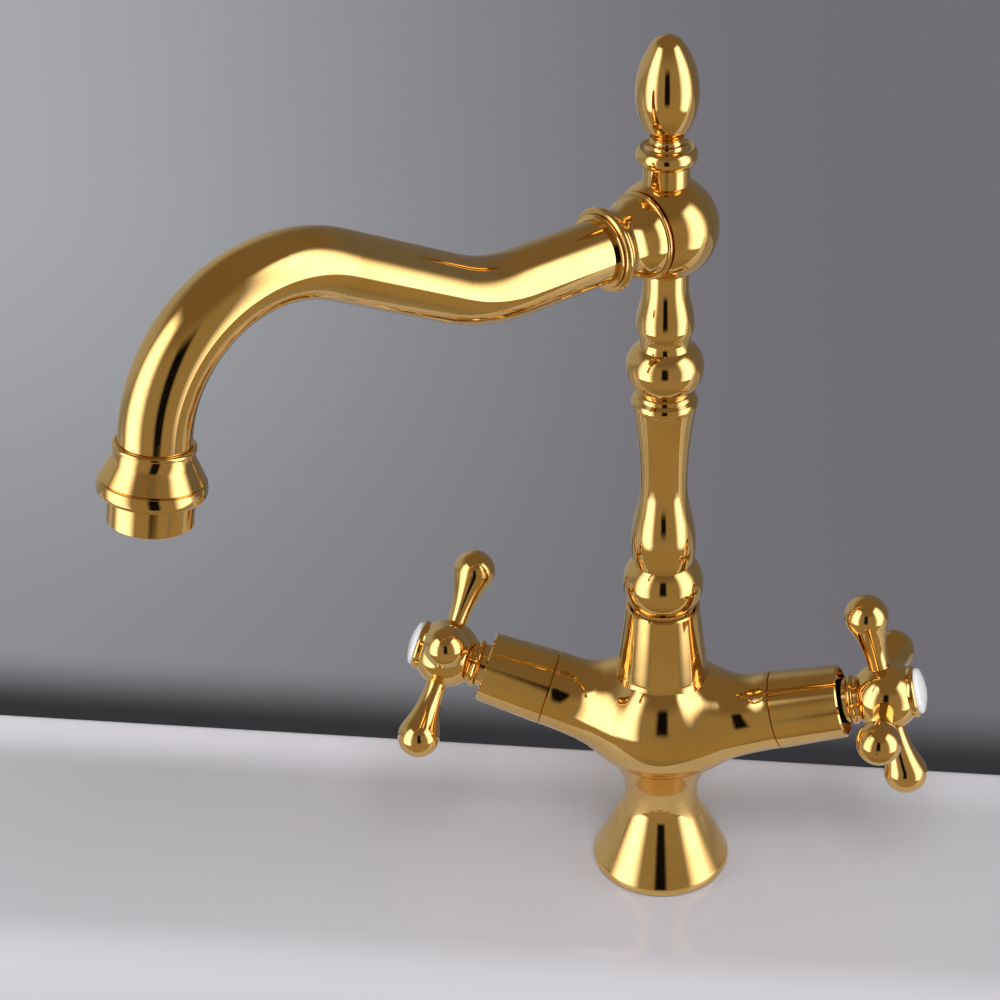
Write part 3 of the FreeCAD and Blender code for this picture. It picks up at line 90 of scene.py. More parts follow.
class Wiring:
    """Adds nodes to a node tree and links their sockets."""

    def __init__(self, tree):
        self.tree = tree

    def node(self, kind, sockets=None, **settings):
        made = self.tree.nodes.new(kind)
        for name, value in settings.items():
            setattr(made, name, value)
        for socket, value in (sockets or {}).items():
            self.feed(made.inputs[socket], value)
        return made

    def feed(self, socket, value):
        if isinstance(value, bpy.types.NodeSocket):
            self.tree.links.new(value, socket)
        else:
            socket.default_value = value

    def math(self, operation, first, second):
        return self.node("ShaderNodeMath", {0: first, 1: second}, operation=operation).outputs[0]

    def step(self, value, low, high, to_low=0.0, to_high=1.0):
        """A smooth step of a value between two levels."""
        sockets = {"Value": value, "From Min": low, "From Max": high, "To Min": to_low, "To Max": to_high}
        return self.node("ShaderNodeMapRange", sockets, interpolation_type="SMOOTHSTEP").outputs["Result"]

    def along(self, vector, direction):
        """How far a vector reaches along a direction."""
        made = self.node("ShaderNodeVectorMath", {0: vector, 1: direction}, operation="DOT_PRODUCT")
        return made.outputs["Value"]

    def mix(self, share, first, second):
        """The first colour, with a share of the second."""
        sockets = {"Factor": share, "A": first, "B": second}
        return self.node("ShaderNodeMix", sockets, data_type="RGBA").outputs["Result"]

    def noise(self, place, scale, detail, roughness=0.5, distortion=0.0):
        sockets = {"Vector": place, "Scale": scale, "Detail": detail, "Roughness": roughness,
                   "Distortion": distortion}
        return self.node("ShaderNodeTexNoise", sockets).outputs["Fac"]


# Studio: a glazed deck, a room, soft lamps, and cards that are seen only in reflections

DECK_COLOUR = (0.562, 0.558, 0.580, 1)
DECK_STAIN = (0.530, 0.525, 0.546, 1)
# Painted highlights: paler colours for the deck's back and its front lip.
DECK_BACK_HIGHLIGHT_COLOUR = (0.86, 0.855, 0.91, 1)
DECK_LIP_HIGHLIGHT_COLOUR = (0.588, 0.586, 0.618, 1)
DECK_HALF = 2.0
DECK_BACK = 0.0634
DECK_BACK_SLOPE = 0.068
DECK_FRONT = -0.0632
DECK_FRONT_SLOPE = 0.090
DECK_BACK_DROP = Vector((0, 0, -0.020))
DECK_BACK_ROUND = 0.006
# Painted highlight along the deck's back, fading towards the right.
DECK_BACK_HIGHLIGHT_BAND = (0.035, 0.010)
DECK_BACK_HIGHLIGHT_SIDES = (-0.10, 0.22)
DECK_BACK_HIGHLIGHT_RIGHT_SHARE = 0.3
DECK_LIP = Vector((0, -0.030, -0.020))
DECK_LIP_START = 0.012
DECK_LIP_ROUND = 0.0108
# Painted highlight over the front lip.
DECK_LIP_HIGHLIGHT_BAND = (0.004, 0.008)
ROUND_STEPS = 8
FLOOR_REACH = 2.5
LEFT_WALL = (0.41, 0.42, 0.44, 1)
LEFT_WALL_LOW = (0.27, 0.275, 0.29, 1)
RIGHT_WALL = (0.163, 0.156, 0.170, 1)
WALL_FOOT = (0.034, 0.034, 0.037, 1)
FLOOR_BEHIND = (0.33, 0.33, 0.34, 1)
LEFT_TO_RIGHT = (-0.30, 0.16)
LEFT_WALL_RISE = (0.0, 0.24)
WALL_FOOT_RISE = (0.001, 0.028)
WALL_FOOT_SIDES = (0.40, 0.60)
FLOOR_BEHIND_RISE = (-0.06, -0.02)
FRONT_WALL = (0.32, 0.265, 0.18, 1)
FRONT_FLOOR = (0.35, 0.275, 0.17, 1)
FLOOR_BELOW = (0.27, 0.215, 0.13, 1)
ROOF = (0.20, 0.15, 0.10, 1)
BACK_TO_FRONT = (-0.3, 0.3)
FLOOR_BELOW_RISE = (-0.90, -0.70)
FRONT_FLOOR_RISE = (-0.50, -0.20)
ROOF_RISE = (0.35, 0.75)
LAMP_LIGHT = (0.95, 0.985, 1.07)
WINDOW_LIGHT = (1.0, 0.985, 1.10, 1)
WINDOW_RIM = (0.10, 0.09, 0.08, 1)
WINDOW_STRENGTH = 2.6
WINDOW_DISTANCE = 0.95
WINDOW_LOW = -0.38
WINDOW_HIGH = 1.45
WINDOW_EVEN_SHARE = 0.16
WINDOW_FOOT_FADE = 0.15
WINDOW_HEAD_FADE = 0.45
CARD_COLOUR = (0.012, 0.011, 0.010, 1)
CARD_WIDE = 0.30
CARD_LOW = -0.06
CARD_HIGH = 0.66
CARD_EVEN_SHARE = 0.4
CARD_FOOT_FADE = 0.15
CARD_HEAD_FADE = 0.20


def front_direction(degrees):
    """Flat direction against the camera's view, turned by an angle towards the picture's right."""
    angle = CAMERA_TURN + math.radians(degrees)
    return Vector((math.sin(angle), -math.cos(angle), 0))


def add_room():
    """A grey wall behind, lighter on the left and dark along the deck, and a warm front and roof."""
    world = bpy.data.worlds.new("room")
    world.use_nodes = True
    scene.world = world
    world.node_tree.nodes.clear()
    wiring = Wiring(world.node_tree)
    towards = wiring.node("ShaderNodeTexCoord").outputs["Generated"]
    height = wiring.node("ShaderNodeSeparateXYZ", {0: towards}).outputs["Z"]
    across = wiring.along(towards, front_direction(90))
    ahead = wiring.along(towards, front_direction(0))
    deck_back = Vector((1, DECK_BACK_SLOPE, 0)).cross(Vector((0, DECK_BACK, 0)) - CAMERA_PLACE)
    over_deck = wiring.along(towards, deck_back.normalized())
    left_wall = wiring.mix(wiring.step(over_deck, *LEFT_WALL_RISE), LEFT_WALL_LOW, LEFT_WALL)
    back_wall = wiring.mix(wiring.step(across, *LEFT_TO_RIGHT), left_wall, RIGHT_WALL)
    aside = wiring.step(wiring.math("ABSOLUTE", across, 0.0), *WALL_FOOT_SIDES)
    clear_of_foot = wiring.math("MAXIMUM", wiring.step(over_deck, *WALL_FOOT_RISE), aside)
    back_wall = wiring.mix(clear_of_foot, WALL_FOOT, back_wall)
    behind = wiring.mix(wiring.step(over_deck, *FLOOR_BEHIND_RISE), FLOOR_BEHIND, back_wall)
    front = wiring.mix(wiring.step(height, *FRONT_FLOOR_RISE), FRONT_FLOOR, FRONT_WALL)
    front = wiring.mix(wiring.step(height, *FLOOR_BELOW_RISE), FLOOR_BELOW, front)
    wall = wiring.mix(wiring.step(ahead, *BACK_TO_FRONT), behind, front)
    room = wiring.mix(wiring.step(height, *ROOF_RISE), wall, ROOF)
    light = wiring.node("ShaderNodeBackground", {"Color": room})
    wiring.node("ShaderNodeOutputWorld", {"Surface": light.outputs["Background"]})


def add_lamp(name, degrees, distance, height, width, tall, watts):
    """A soft area lamp that faces the part, which the metal doesn't mirror."""
    data = bpy.data.lights.new(name, "AREA")
    data.shape = "RECTANGLE"
    data.size = width
    data.size_y = tall
    data.energy = watts
    data.color = LAMP_LIGHT
    lamp = bpy.data.objects.new(name, data)
    scene.collection.objects.link(lamp)
    place = front_direction(degrees) * distance
    place.z = height
    turn = (-place).to_track_quat("-Z", "Y").to_matrix().to_4x4()
    lamp.matrix_world = Matrix.Translation(place) @ turn
    lamp.visible_camera = False
    lamp.visible_glossy = False


def clear_selection():
    if bpy.context.mode != "OBJECT":
        bpy.ops.object.mode_set(mode="OBJECT")
    bpy.ops.object.select_all(action="DESELECT")


def set_place(piece, matrix):
    """Puts a piece's place into its mesh."""
    piece.data.transform(matrix @ piece.matrix_world)
    piece.matrix_world = Matrix.Identity(4)
    piece.data.update()


def edit_where(piece, kind, test):
    """Goes into edit mode with only those corners, edges or faces selected that pass a test."""
    clear_selection()
    bpy.context.view_layer.objects.active = piece
    piece.select_set(True)
    bpy.ops.object.mode_set(mode="EDIT")
    bpy.ops.mesh.select_mode(type=kind)
    bpy.ops.mesh.select_all(action="DESELECT")
    bpy.ops.object.mode_set(mode="OBJECT")
    mesh = piece.data
    for item in {"VERT": mesh.vertices, "EDGE": mesh.edges, "FACE": mesh.polygons}[kind]:
        item.select = test(item)
    bpy.ops.object.mode_set(mode="EDIT")


def add_card(name, degrees, distance, wide, low, high, material):
    """A flat upright card that is seen only in reflections."""
    clear_selection()
    bpy.ops.mesh.primitive_plane_add(size=1)
    card = bpy.context.object
    card.name = name
    place = front_direction(degrees) * distance
    place.z = (low + high) / 2
    turn = Matrix.Rotation(CAMERA_TURN + math.radians(degrees), 4, "Z")
    upright = Matrix.Rotation(math.radians(90), 4, "X") @ Matrix.Diagonal((wide, high - low, 1, 1))
    set_place(card, Matrix.Translation(place) @ turn @ upright)
    card.data.materials.append(material)
    card.visible_camera = False
    card.visible_diffuse = False
    card.visible_shadow = False


def new_card_material(name):
    """A material without nodes, and its wiring."""
    material = bpy.data.materials.new(name)
    material.use_nodes = True
    material.node_tree.nodes.clear()
    return material, Wiring(material.node_tree)


def soft_rectangle(wiring, degrees, wide, heights, even_share, fades):
    """A share that is full in a card's middle and fades over its sides, its foot and its head."""
    low, high = heights
    foot_fade, head_fade = fades
    place = wiring.node("ShaderNodeTexCoord").outputs["Object"]
    across = wiring.math("ABSOLUTE", wiring.along(place, front_direction(degrees + 90)), 0.0)
    height = wiring.node("ShaderNodeSeparateXYZ", {0: place}).outputs["Z"]
    sides = wiring.step(across, wide / 2 * even_share, wide / 2, 1.0, 0.0)
    foot = wiring.step(height, low, low + foot_fade)
    head = wiring.step(height, high - head_fade, high, 1.0, 0.0)
    return wiring.math("MULTIPLY", sides, wiring.math("MULTIPLY", foot, head))


def add_window(name, degrees, wide):
    """Daylight that fades towards the window's rim."""
    material, wiring = new_card_material(name)
    pane = soft_rectangle(wiring, degrees, wide, (WINDOW_LOW, WINDOW_HIGH), WINDOW_EVEN_SHARE,
                          (WINDOW_FOOT_FADE, WINDOW_HEAD_FADE))
    light = wiring.mix(pane, WINDOW_RIM, WINDOW_LIGHT)
    glow = wiring.node("ShaderNodeEmission", {"Color": light, "Strength": WINDOW_STRENGTH})
    wiring.node("ShaderNodeOutputMaterial", {"Surface": glow.outputs["Emission"]})
    add_card(name, degrees, WINDOW_DISTANCE, wide, WINDOW_LOW, WINDOW_HIGH, material)


def add_dark_card():
    """A dark card at the camera, which the round forms mirror as a soft upright stripe."""
    angle = math.degrees(math.atan2(CAMERA_PLACE.x, -CAMERA_PLACE.y) - CAMERA_TURN)
    distance = math.hypot(CAMERA_PLACE.x, CAMERA_PLACE.y)
    material, wiring = new_card_material("dark_card")
    share = soft_rectangle(wiring, angle, CARD_WIDE, (CARD_LOW, CARD_HIGH), CARD_EVEN_SHARE,
                           (CARD_FOOT_FADE, CARD_HEAD_FADE))
    dark = wiring.node("ShaderNodeBsdfDiffuse", {"Color": CARD_COLOUR}).outputs["BSDF"]
    clear = wiring.node("ShaderNodeBsdfTransparent").outputs["BSDF"]
    card = wiring.node("ShaderNodeMixShader", {0: share, 1: clear, 2: dark}).outputs["Shader"]
    wiring.node("ShaderNodeOutputMaterial", {"Surface": card})
    add_card("dark_card", angle, distance, CARD_WIDE, CARD_LOW, CARD_HIGH, material)


# Surface effects that several finishes share

def new_group(name, inputs, outputs):
    """A shader node group, its wiring, the sockets that bring its inputs and those for its results."""
    group = bpy.data.node_groups.new(name, "ShaderNodeTree")
    for socket, kind in inputs:
        group.interface.new_socket(socket, in_out="INPUT", socket_type="NodeSocket" + kind)
    for socket, kind in outputs:
        group.interface.new_socket(socket, in_out="OUTPUT", socket_type="NodeSocket" + kind)
    wiring = Wiring(group)
    given = wiring.node("NodeGroupInput").outputs
    result = wiring.node("NodeGroupOutput").inputs
    return group, wiring, given, result


FINISH_INPUTS = [("Place", "Vector"), ("Size", "Float"), ("Clean", "Color"), ("Worn", "Color"),
                 ("Smooth", "Float"), ("Rough", "Float")]
FINISH_OUTPUTS = [("Color", "Color"), ("Roughness", "Float"), ("Height", "Float")]


def blend_roughness(wiring, given, share):
    span = wiring.math("SUBTRACT", given["Rough"], given["Smooth"])
    return wiring.math("ADD", given["Smooth"], wiring.math("MULTIPLY", span, share))


def make_polish_marks():
    """Hand-polished metal: slow waves, clouds of tone, fine wipe marks and dried water specks."""
    group, wiring, given, result = new_group("polish_marks", FINISH_INPUTS, FINISH_OUTPUTS)
    place = wiring.node("ShaderNodeVectorMath", {0: given["Place"], "Scale": given["Size"]},
                        operation="SCALE").outputs[0]
    waves = wiring.noise(place, scale=24.0, detail=1.0)
    clouds = wiring.step(wiring.noise(place, scale=46.0, detail=4.0), 0.40, 0.68)
    smears = wiring.noise(place, scale=520.0, detail=5.0, roughness=0.6, distortion=1.4)
    wipes = wiring.step(smears, 0.46, 0.78)
    cells = wiring.node("ShaderNodeTexVoronoi", {"Vector": place, "Scale": 330.0}).outputs["Distance"]
    dots = wiring.step(cells, 0.05, 0.13, 1.0, 0.0)
    patches = wiring.step(wiring.noise(place, scale=75.0, detail=2.0), 0.58, 0.66)
    specks = wiring.math("MULTIPLY", dots, patches)
    clouded = wiring.math("MULTIPLY", clouds, 0.45)
    tone = wiring.math("MAXIMUM", clouded, wiring.math("MULTIPLY", specks, 0.8))
    wiring.feed(result["Color"], wiring.mix(tone, given["Clean"], given["Worn"]))
    dull = wiring.math("MAXIMUM", wiring.math("MULTIPLY", wipes, 0.6), specks)
    wiring.feed(result["Roughness"], blend_roughness(wiring, given, dull))
    wiring.feed(result["Height"], wiring.math("ADD", waves, wiring.math("MULTIPLY", specks, 0.02)))
    return group


def make_fine_mottle():
    """Moulded, fired or glazed stuff: faint clouds of tone, pin specks and a fine grain."""
    group, wiring, given, result = new_group("fine_mottle", FINISH_INPUTS, FINISH_OUTPUTS)
    place = wiring.node("ShaderNodeVectorMath", {0: given["Place"], "Scale": given["Size"]},
                        operation="SCALE").outputs[0]
    clouds = wiring.step(wiring.noise(place, scale=110.0, detail=3.0), 0.35, 0.70)
    grain = wiring.noise(place, scale=1900.0, detail=3.0, roughness=0.6)
    cells = wiring.node("ShaderNodeTexVoronoi", {"Vector": place, "Scale": 420.0}).outputs["Distance"]
    pins = wiring.step(cells, 0.04, 0.10, 1.0, 0.0)
    clouded = wiring.math("MULTIPLY", clouds, 0.5)
    tone = wiring.math("MAXIMUM", clouded, wiring.math("MULTIPLY", pins, 0.7))
    wiring.feed(result["Color"], wiring.mix(tone, given["Clean"], given["Worn"]))
    wiring.feed(result["Roughness"], blend_roughness(wiring, given, wiring.step(grain, 0.3, 0.7)))
    wiring.feed(result["Height"], wiring.math("SUBTRACT", grain, wiring.math("MULTIPLY", pins, 0.5)))
    return group


polish_marks = make_polish_marks()
fine_mottle = make_fine_mottle()


# Finishes of the record's slots

def new_finish(name, effect, size, clean, worn, smooth, rough, bump):
    """A material with a shared effect on its colour, roughness and bump, its shader and its wiring."""
    material = bpy.data.materials.new(name)
    material.use_nodes = True
    wiring = Wiring(material.node_tree)
    shader = material.node_tree.nodes["Principled BSDF"]
    place = wiring.node("ShaderNodeTexCoord").outputs["Object"]
    marks = wiring.node("ShaderNodeGroup", node_tree=effect)
    for socket, value in (("Place", place), ("Size", size), ("Clean", clean), ("Worn", worn),
                          ("Smooth", smooth), ("Rough", rough)):
        wiring.feed(marks.inputs[socket], value)
    wiring.feed(shader.inputs["Base Color"], marks.outputs["Color"])
    wiring.feed(shader.inputs["Roughness"], marks.outputs["Roughness"])
    raised = wiring.node("ShaderNodeBump", {"Height": marks.outputs["Height"], "Distance": bump,
                                            "Strength": 1.0})
    wiring.feed(shader.inputs["Normal"], raised.outputs["Normal"])
    return material, shader, wiring


# Painted shade in the grooves fades out between these levels of openness.
GROOVE_OPENNESS = (0.15, 0.65)


def paint_shade_in_grooves(shader, wiring, colour, reach):
    """Painted shade: darkens the colour where the piece folds in on itself."""
    polished = shader.inputs["Base Color"].links[0].from_socket
    shelter = wiring.node("ShaderNodeAmbientOcclusion", {"Distance": reach}, only_local=True, samples=8)
    open_share = wiring.step(shelter.outputs["AO"], *GROOVE_OPENNESS)
    wiring.feed(shader.inputs["Base Color"], wiring.mix(open_share, colour, polished))


def make_gold():
    material, shader, wiring = new_finish(
        "gold_polished", polish_marks, size=1.0, clean=(0.85, 0.55, 0.185, 1), worn=(0.74, 0.45, 0.12, 1),
        smooth=0.035, rough=0.10, bump=0.10 * MM)
    shader.inputs["Metallic"].default_value = 1.0
    # Painted shade in the gold's grooves.
    paint_shade_in_grooves(shader, wiring, colour=(0.50, 0.30, 0.09, 1), reach=1.5 * MM)
    return material


def make_brass():
    material, shader, wiring = new_finish(
        "brass_machined", polish_marks, size=2.5, clean=(0.72, 0.52, 0.24, 1), worn=(0.55, 0.37, 0.15, 1),
        smooth=0.22, rough=0.38, bump=0.04 * MM)
    shader.inputs["Metallic"].default_value = 1.0
    # Painted shade in the brass's grooves.
    paint_shade_in_grooves(shader, wiring, colour=(0.25, 0.16, 0.06, 1), reach=1.5 * MM)
    return material


def make_steel():
    material, shader, wiring = new_finish(
        "steel_turned", polish_marks, size=2.5, clean=(0.60, 0.59, 0.57, 1), worn=(0.45, 0.44, 0.43, 1),
        smooth=0.24, rough=0.42, bump=0.03 * MM)
    shader.inputs["Metallic"].default_value = 1.0
    # Painted shade in the steel's grooves.
    paint_shade_in_grooves(shader, wiring, colour=(0.20, 0.18, 0.16, 1), reach=1.0 * MM)
    return material


def make_porcelain():
    material, shader, _ = new_finish(
        "porcelain_glazed", fine_mottle, size=0.6, clean=(0.86, 0.86, 0.845, 1),
        worn=(0.82, 0.82, 0.80, 1), smooth=0.04, rough=0.07, bump=0.004 * MM)
    shader.inputs["IOR"].default_value = 1.52
    shader.inputs["Coat Weight"].default_value = 0.6
    shader.inputs["Coat Roughness"].default_value = 0.03
    return material


def make_ceramic():
    material, shader, _ = new_finish(
        "ceramic_lapped", fine_mottle, size=1.0, clean=(0.85, 0.83, 0.76, 1), worn=(0.76, 0.74, 0.67, 1),
        smooth=0.30, rough=0.42, bump=0.01 * MM)
    shader.inputs["IOR"].default_value = 1.6
    return material


def make_rubber():
    material, shader, _ = new_finish(
        "rubber_moulded", fine_mottle, size=0.8, clean=(0.022, 0.022, 0.023, 1),
        worn=(0.045, 0.044, 0.043, 1), smooth=0.62, rough=0.85, bump=0.05 * MM)
    shader.inputs["Specular IOR Level"].default_value = 0.35
    return material


def make_plastic():
    material, shader, _ = new_finish(
        "plastic_satin", fine_mottle, size=0.7, clean=(0.80, 0.80, 0.77, 1), worn=(0.74, 0.74, 0.70, 1),
        smooth=0.36, rough=0.50, bump=0.02 * MM)
    shader.inputs["IOR"].default_value = 1.48
    return material


def make_deck_glaze_with_painted_highlights():
    """Pale glaze, with painted highlights over the front lip and along the deck's back, most of all on the left.
    """
    material, shader, wiring = new_finish(
        "deck_glaze_with_painted_highlights", fine_mottle, size=0.05, clean=DECK_COLOUR, worn=DECK_STAIN,
        smooth=0.14, rough=0.18, bump=0.002 * MM)
    shader.inputs["IOR"].default_value = 1.45
    place = wiring.node("ShaderNodeTexCoord").outputs["Object"]
    across = wiring.node("ShaderNodeSeparateXYZ", {0: place}).outputs["X"]
    to_back = wiring.along(place, Vector((-DECK_BACK_SLOPE, 1, 0)))
    to_front = wiring.along(place, Vector((-DECK_FRONT_SLOPE, 1, 0)))
    # Painted highlights: a band along the back, strongest on the left, and the front lip.
    back_start, back_end = DECK_BACK_HIGHLIGHT_BAND
    back = wiring.step(to_back, DECK_BACK - back_start, DECK_BACK - back_end)
    left = wiring.step(across, *DECK_BACK_HIGHLIGHT_SIDES, 1.0, DECK_BACK_HIGHLIGHT_RIGHT_SHARE)
    lip_end, lip_start = DECK_LIP_HIGHLIGHT_BAND
    lip = wiring.step(to_front, DECK_FRONT - lip_end, DECK_FRONT + lip_start, 1.0, 0.0)
    glaze = shader.inputs["Base Color"].links[0].from_socket
    highlighted_glaze = wiring.mix(wiring.math("MULTIPLY", back, left), glaze, DECK_BACK_HIGHLIGHT_COLOUR)
    highlighted_glaze = wiring.mix(lip, highlighted_glaze, DECK_LIP_HIGHLIGHT_COLOUR)
    wiring.feed(shader.inputs["Base Color"], highlighted_glaze)
    return material


deck_glaze_with_painted_highlights = make_deck_glaze_with_painted_highlights()
finishes = {
    "polished_gold": make_gold(),
    "plain_brass": make_brass(),
    "white_porcelain": make_porcelain(),
    "valve_ceramic": make_ceramic(),
    "black_rubber": make_rubber(),
    "steel": make_steel(),
    "white_plastic": make_plastic(),
}


def dress_nodes():
    """Gives each solid the finish of its slot."""
    for part in frame["record"]["subparts"]:
        mesh = nodes[part["node"]].data
        mesh.materials.clear()
        mesh.materials.append(finishes[part["material_slot"]])


# Fasteners and the aerator's insert, which stand in for plainer solids

WELD = 0.002 * MM
SMOOTH_ANGLE = math.radians(35)
FACING = 0.9
ROUND_SIDES = 48
RING_SIDES = 64
HEX_SIDES = 6
THREAD_STEPS = 24
THREAD_SPARE_TURNS = 2
THREAD_CHAMFER_SHARE = 0.7
THREAD_WELD_SHARE = 0.02
STUD_PITCH = 1.0 * MM
SET_SCREW_PITCH = 0.7 * MM
SET_SCREW_KEY = 2.0 * MM
SET_SCREW_KEY_DEPTH = 2.2 * MM
HANDLE_SCREW_R = 2.0 * MM
HANDLE_SCREW_PITCH = 0.7 * MM
HANDLE_SCREW_HEAD = 2.4 * MM
HANDLE_SCREW_HEAD_ROUND = 1.2 * MM
HANDLE_SCREW_KEY = 2.5 * MM
HANDLE_SCREW_KEY_DEPTH = 1.3 * MM
NUT_BORE_GAP = 0.05 * MM
NUT_SINK = 0.5 * MM
NUT_SINK_FLARE = 1.2
NUT_BLANK_SPARE = 0.01
OUTLET_TURN = math.radians(229.8)
OUTLET_TILT = math.radians(-11.0)
INSERT_RING_WALL = 1.0 * MM
COMB_CELL_R = 1.25 * MM
COMB_WALL = 0.20 * MM


def apply_modifier(piece, kind, **settings):
    clear_selection()
    bpy.context.view_layer.objects.active = piece
    modifier = piece.modifiers.new(kind.lower(), kind)
    for name, value in settings.items():
        setattr(modifier, name, value)
    bpy.ops.object.modifier_apply(modifier=modifier.name)


def carve(piece, tool, operation):
    """Cuts a piece by, or joins it to, a tool that is then thrown away, and welds the seam."""
    apply_modifier(piece, "BOOLEAN", operation=operation, object=tool, solver="EXACT")
    bpy.data.objects.remove(tool)
    edit_where(piece, "VERT", lambda corner: True)
    bpy.ops.mesh.remove_doubles(threshold=WELD)
    bpy.ops.mesh.dissolve_degenerate(threshold=WELD)
    bpy.ops.mesh.select_all(action="SELECT")
    bpy.ops.mesh.quads_convert_to_tris(quad_method="BEAUTY", ngon_method="BEAUTY")
    bpy.ops.object.mode_set(mode="OBJECT")


def add_prism(name, sides, radius, low, high, turn=0.0):
    """An upright prism about Z."""
    clear_selection()
    bpy.ops.mesh.primitive_cylinder_add(vertices=sides, radius=radius, depth=high - low,
                                        location=(0, 0, (low + high) / 2), rotation=(0, 0, turn))
    prism = bpy.context.object
    prism.name = name
    bpy.ops.object.transform_apply(location=True, rotation=True)
    return prism


def bevel_rims(prism, facings, width, segments):
    """Bevels the rims of a prism's ends that face up (1), down (-1) or both."""
    edit_where(prism, "FACE", lambda face: any(face.normal.z * facing > FACING for facing in facings))
    bpy.ops.mesh.bevel(offset=width, segments=segments)
    bpy.ops.object.mode_set(mode="OBJECT")


def turn_down(rod, radius, length, chamfer):
    """Turns both ends of an upright rod down to a chamfer."""
    for corner in rod.data.vertices:
        from_end = max(min(corner.co.z, length - corner.co.z), 0)
        reach = math.hypot(corner.co.x, corner.co.y)
        share = min(1, (radius - chamfer + from_end) / reach)
        corner.co.x *= share
        corner.co.y *= share
    rod.data.update()


def add_thread(name, radius, pitch, length):
    """A threaded rod along Z from the origin up, with chamfered ends."""
    clear_selection()
    bpy.ops.mesh.primitive_circle_add(vertices=4, radius=pitch / 2, rotation=(math.radians(90), 0, 0))
    rod = bpy.context.object
    rod.name = name
    bpy.ops.object.transform_apply(rotation=True)
    edit_where(rod, "VERT", lambda corner: corner.co.x < -pitch / 4)
    bpy.ops.mesh.delete(type="VERT")
    bpy.ops.mesh.select_all(action="SELECT")
    bpy.ops.transform.translate(value=(radius - pitch / 2, 0, -pitch * THREAD_SPARE_TURNS))
    bpy.ops.object.mode_set(mode="OBJECT")
    turns = math.ceil(length / pitch) + 2 * THREAD_SPARE_TURNS
    apply_modifier(rod, "SCREW", screw_offset=pitch, iterations=turns, steps=THREAD_STEPS,
                   render_steps=THREAD_STEPS)
    edit_where(rod, "VERT", lambda corner: True)
    bpy.ops.mesh.remove_doubles(threshold=pitch * THREAD_WELD_SHARE)
    for height, outwards in ((0, -1), (length, 1)):
        bpy.ops.mesh.select_all(action="SELECT")
        bpy.ops.mesh.bisect(plane_co=(0, 0, height), plane_no=(0, 0, outwards), use_fill=True,
                            clear_outer=True, threshold=WELD)
    bpy.ops.mesh.select_all(action="SELECT")
    bpy.ops.mesh.remove_doubles(threshold=pitch * THREAD_WELD_SHARE)
    bpy.ops.mesh.normals_make_consistent(inside=False)
    bpy.ops.object.mode_set(mode="OBJECT")
    turn_down(rod, radius, length, pitch * THREAD_CHAMFER_SHARE)
    return rod


def add_key_socket(flats, low, high):
    """The hexagonal hole that a key turns."""
    return add_prism("key_socket", HEX_SIDES, flats / math.sqrt(3), low, high)


def add_tube(name, sides, radius, wall, low, high):
    tube = add_prism(name, sides, radius, low, high)
    edit_where(tube, "FACE", lambda face: abs(face.normal.z) > FACING)
    bpy.ops.mesh.inset(thickness=wall)
    bpy.ops.mesh.bridge_edge_loops()
    bpy.ops.object.mode_set(mode="OBJECT")
    return tube


def reach_along(node, start, axis):
    """How far a node reaches along an axis from a point, and how far from the axis."""
    reaches = []
    radii = []
    for corner in nodes[node].data.vertices:
        offset = corner.co - start
        reaches.append(offset.dot(axis))
        radii.append((offset - axis * offset.dot(axis)).length)
    return min(reaches), max(reaches), max(radii)


def finish_piece(piece, body, node, slot):
    """Smooths a piece, gives it its finish and lets it stand for its node."""
    clear_selection()
    bpy.context.view_layer.objects.active = piece
    piece.select_set(True)
    bpy.ops.object.shade_smooth_by_angle(angle=SMOOTH_ANGLE)
    piece.data.materials.clear()
    piece.data.materials.append(finishes[slot])
    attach(piece, body)
    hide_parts(node)


def add_stud():
    """The threaded stud under the deck."""
    low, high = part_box("mounting_stud")
    stud = add_thread("threaded_stud", (high.x - low.x) / 2, STUD_PITCH, high.z - low.z)
    set_place(stud, Matrix.Translation(((low.x + high.x) / 2, (low.y + high.y) / 2, low.z)))
    finish_piece(stud, "base", "mounting_stud", "steel")


def add_nut():
    """The hexagon nut on the stud, chamfered at its corners and countersunk at its bore."""
    low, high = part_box("clamp_nut")
    stud_low, stud_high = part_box("mounting_stud")
    size = high - low
    flats = min(size.x, size.y)
    corner_r = flats / math.sqrt(3)
    spare = corner_r * NUT_BLANK_SPARE
    nut = add_prism("hexagon_nut", RING_SIDES, corner_r + spare, 0, size.z)
    bevel_rims(nut, (1, -1), spare + corner_r - flats / 2, segments=1)
    turn = 0 if size.x < size.y else math.radians(30)
    carve(nut, add_prism("nut_flats", HEX_SIDES, corner_r, -size.z, size.z * 2, turn), "INTERSECT")
    bore_r = (stud_high.x - stud_low.x) / 2 + NUT_BORE_GAP
    bore = add_prism("nut_bore", ROUND_SIDES, bore_r, NUT_SINK, size.z - NUT_SINK)
    for outwards in (-1, 1):
        edit_where(bore, "FACE", lambda face: face.normal.z * outwards > FACING)
        past_face = (0, 0, outwards * NUT_SINK * NUT_SINK_FLARE)
        bpy.ops.mesh.extrude_region_move(TRANSFORM_OT_translate={"value": past_face})
        bpy.ops.transform.resize(value=(NUT_SINK_FLARE, NUT_SINK_FLARE, 1))
    bpy.ops.object.mode_set(mode="OBJECT")
    carve(nut, bore, "DIFFERENCE")
    set_place(nut, Matrix.Translation(((low.x + high.x) / 2, (low.y + high.y) / 2, low.z)))
    finish_piece(nut, "base", "clamp_nut", "steel")


def add_set_screw():
    """The socket set screw at the back of the riser that keeps the column in."""
    low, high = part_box("swivel_set_screw")
    length = high.y - low.y
    screw = add_thread("socket_set_screw", (high.x - low.x) / 2, SET_SCREW_PITCH, length)
    carve(screw, add_key_socket(SET_SCREW_KEY, length - SET_SCREW_KEY_DEPTH, length + MM), "DIFFERENCE")
    backwards = Matrix.Rotation(math.radians(-90), 4, "X")
    set_place(screw, Matrix.Translation((0, low.y, (low.z + high.z) / 2)) @ backwards)
    finish_piece(screw, "base", "swivel_set_screw", "steel")


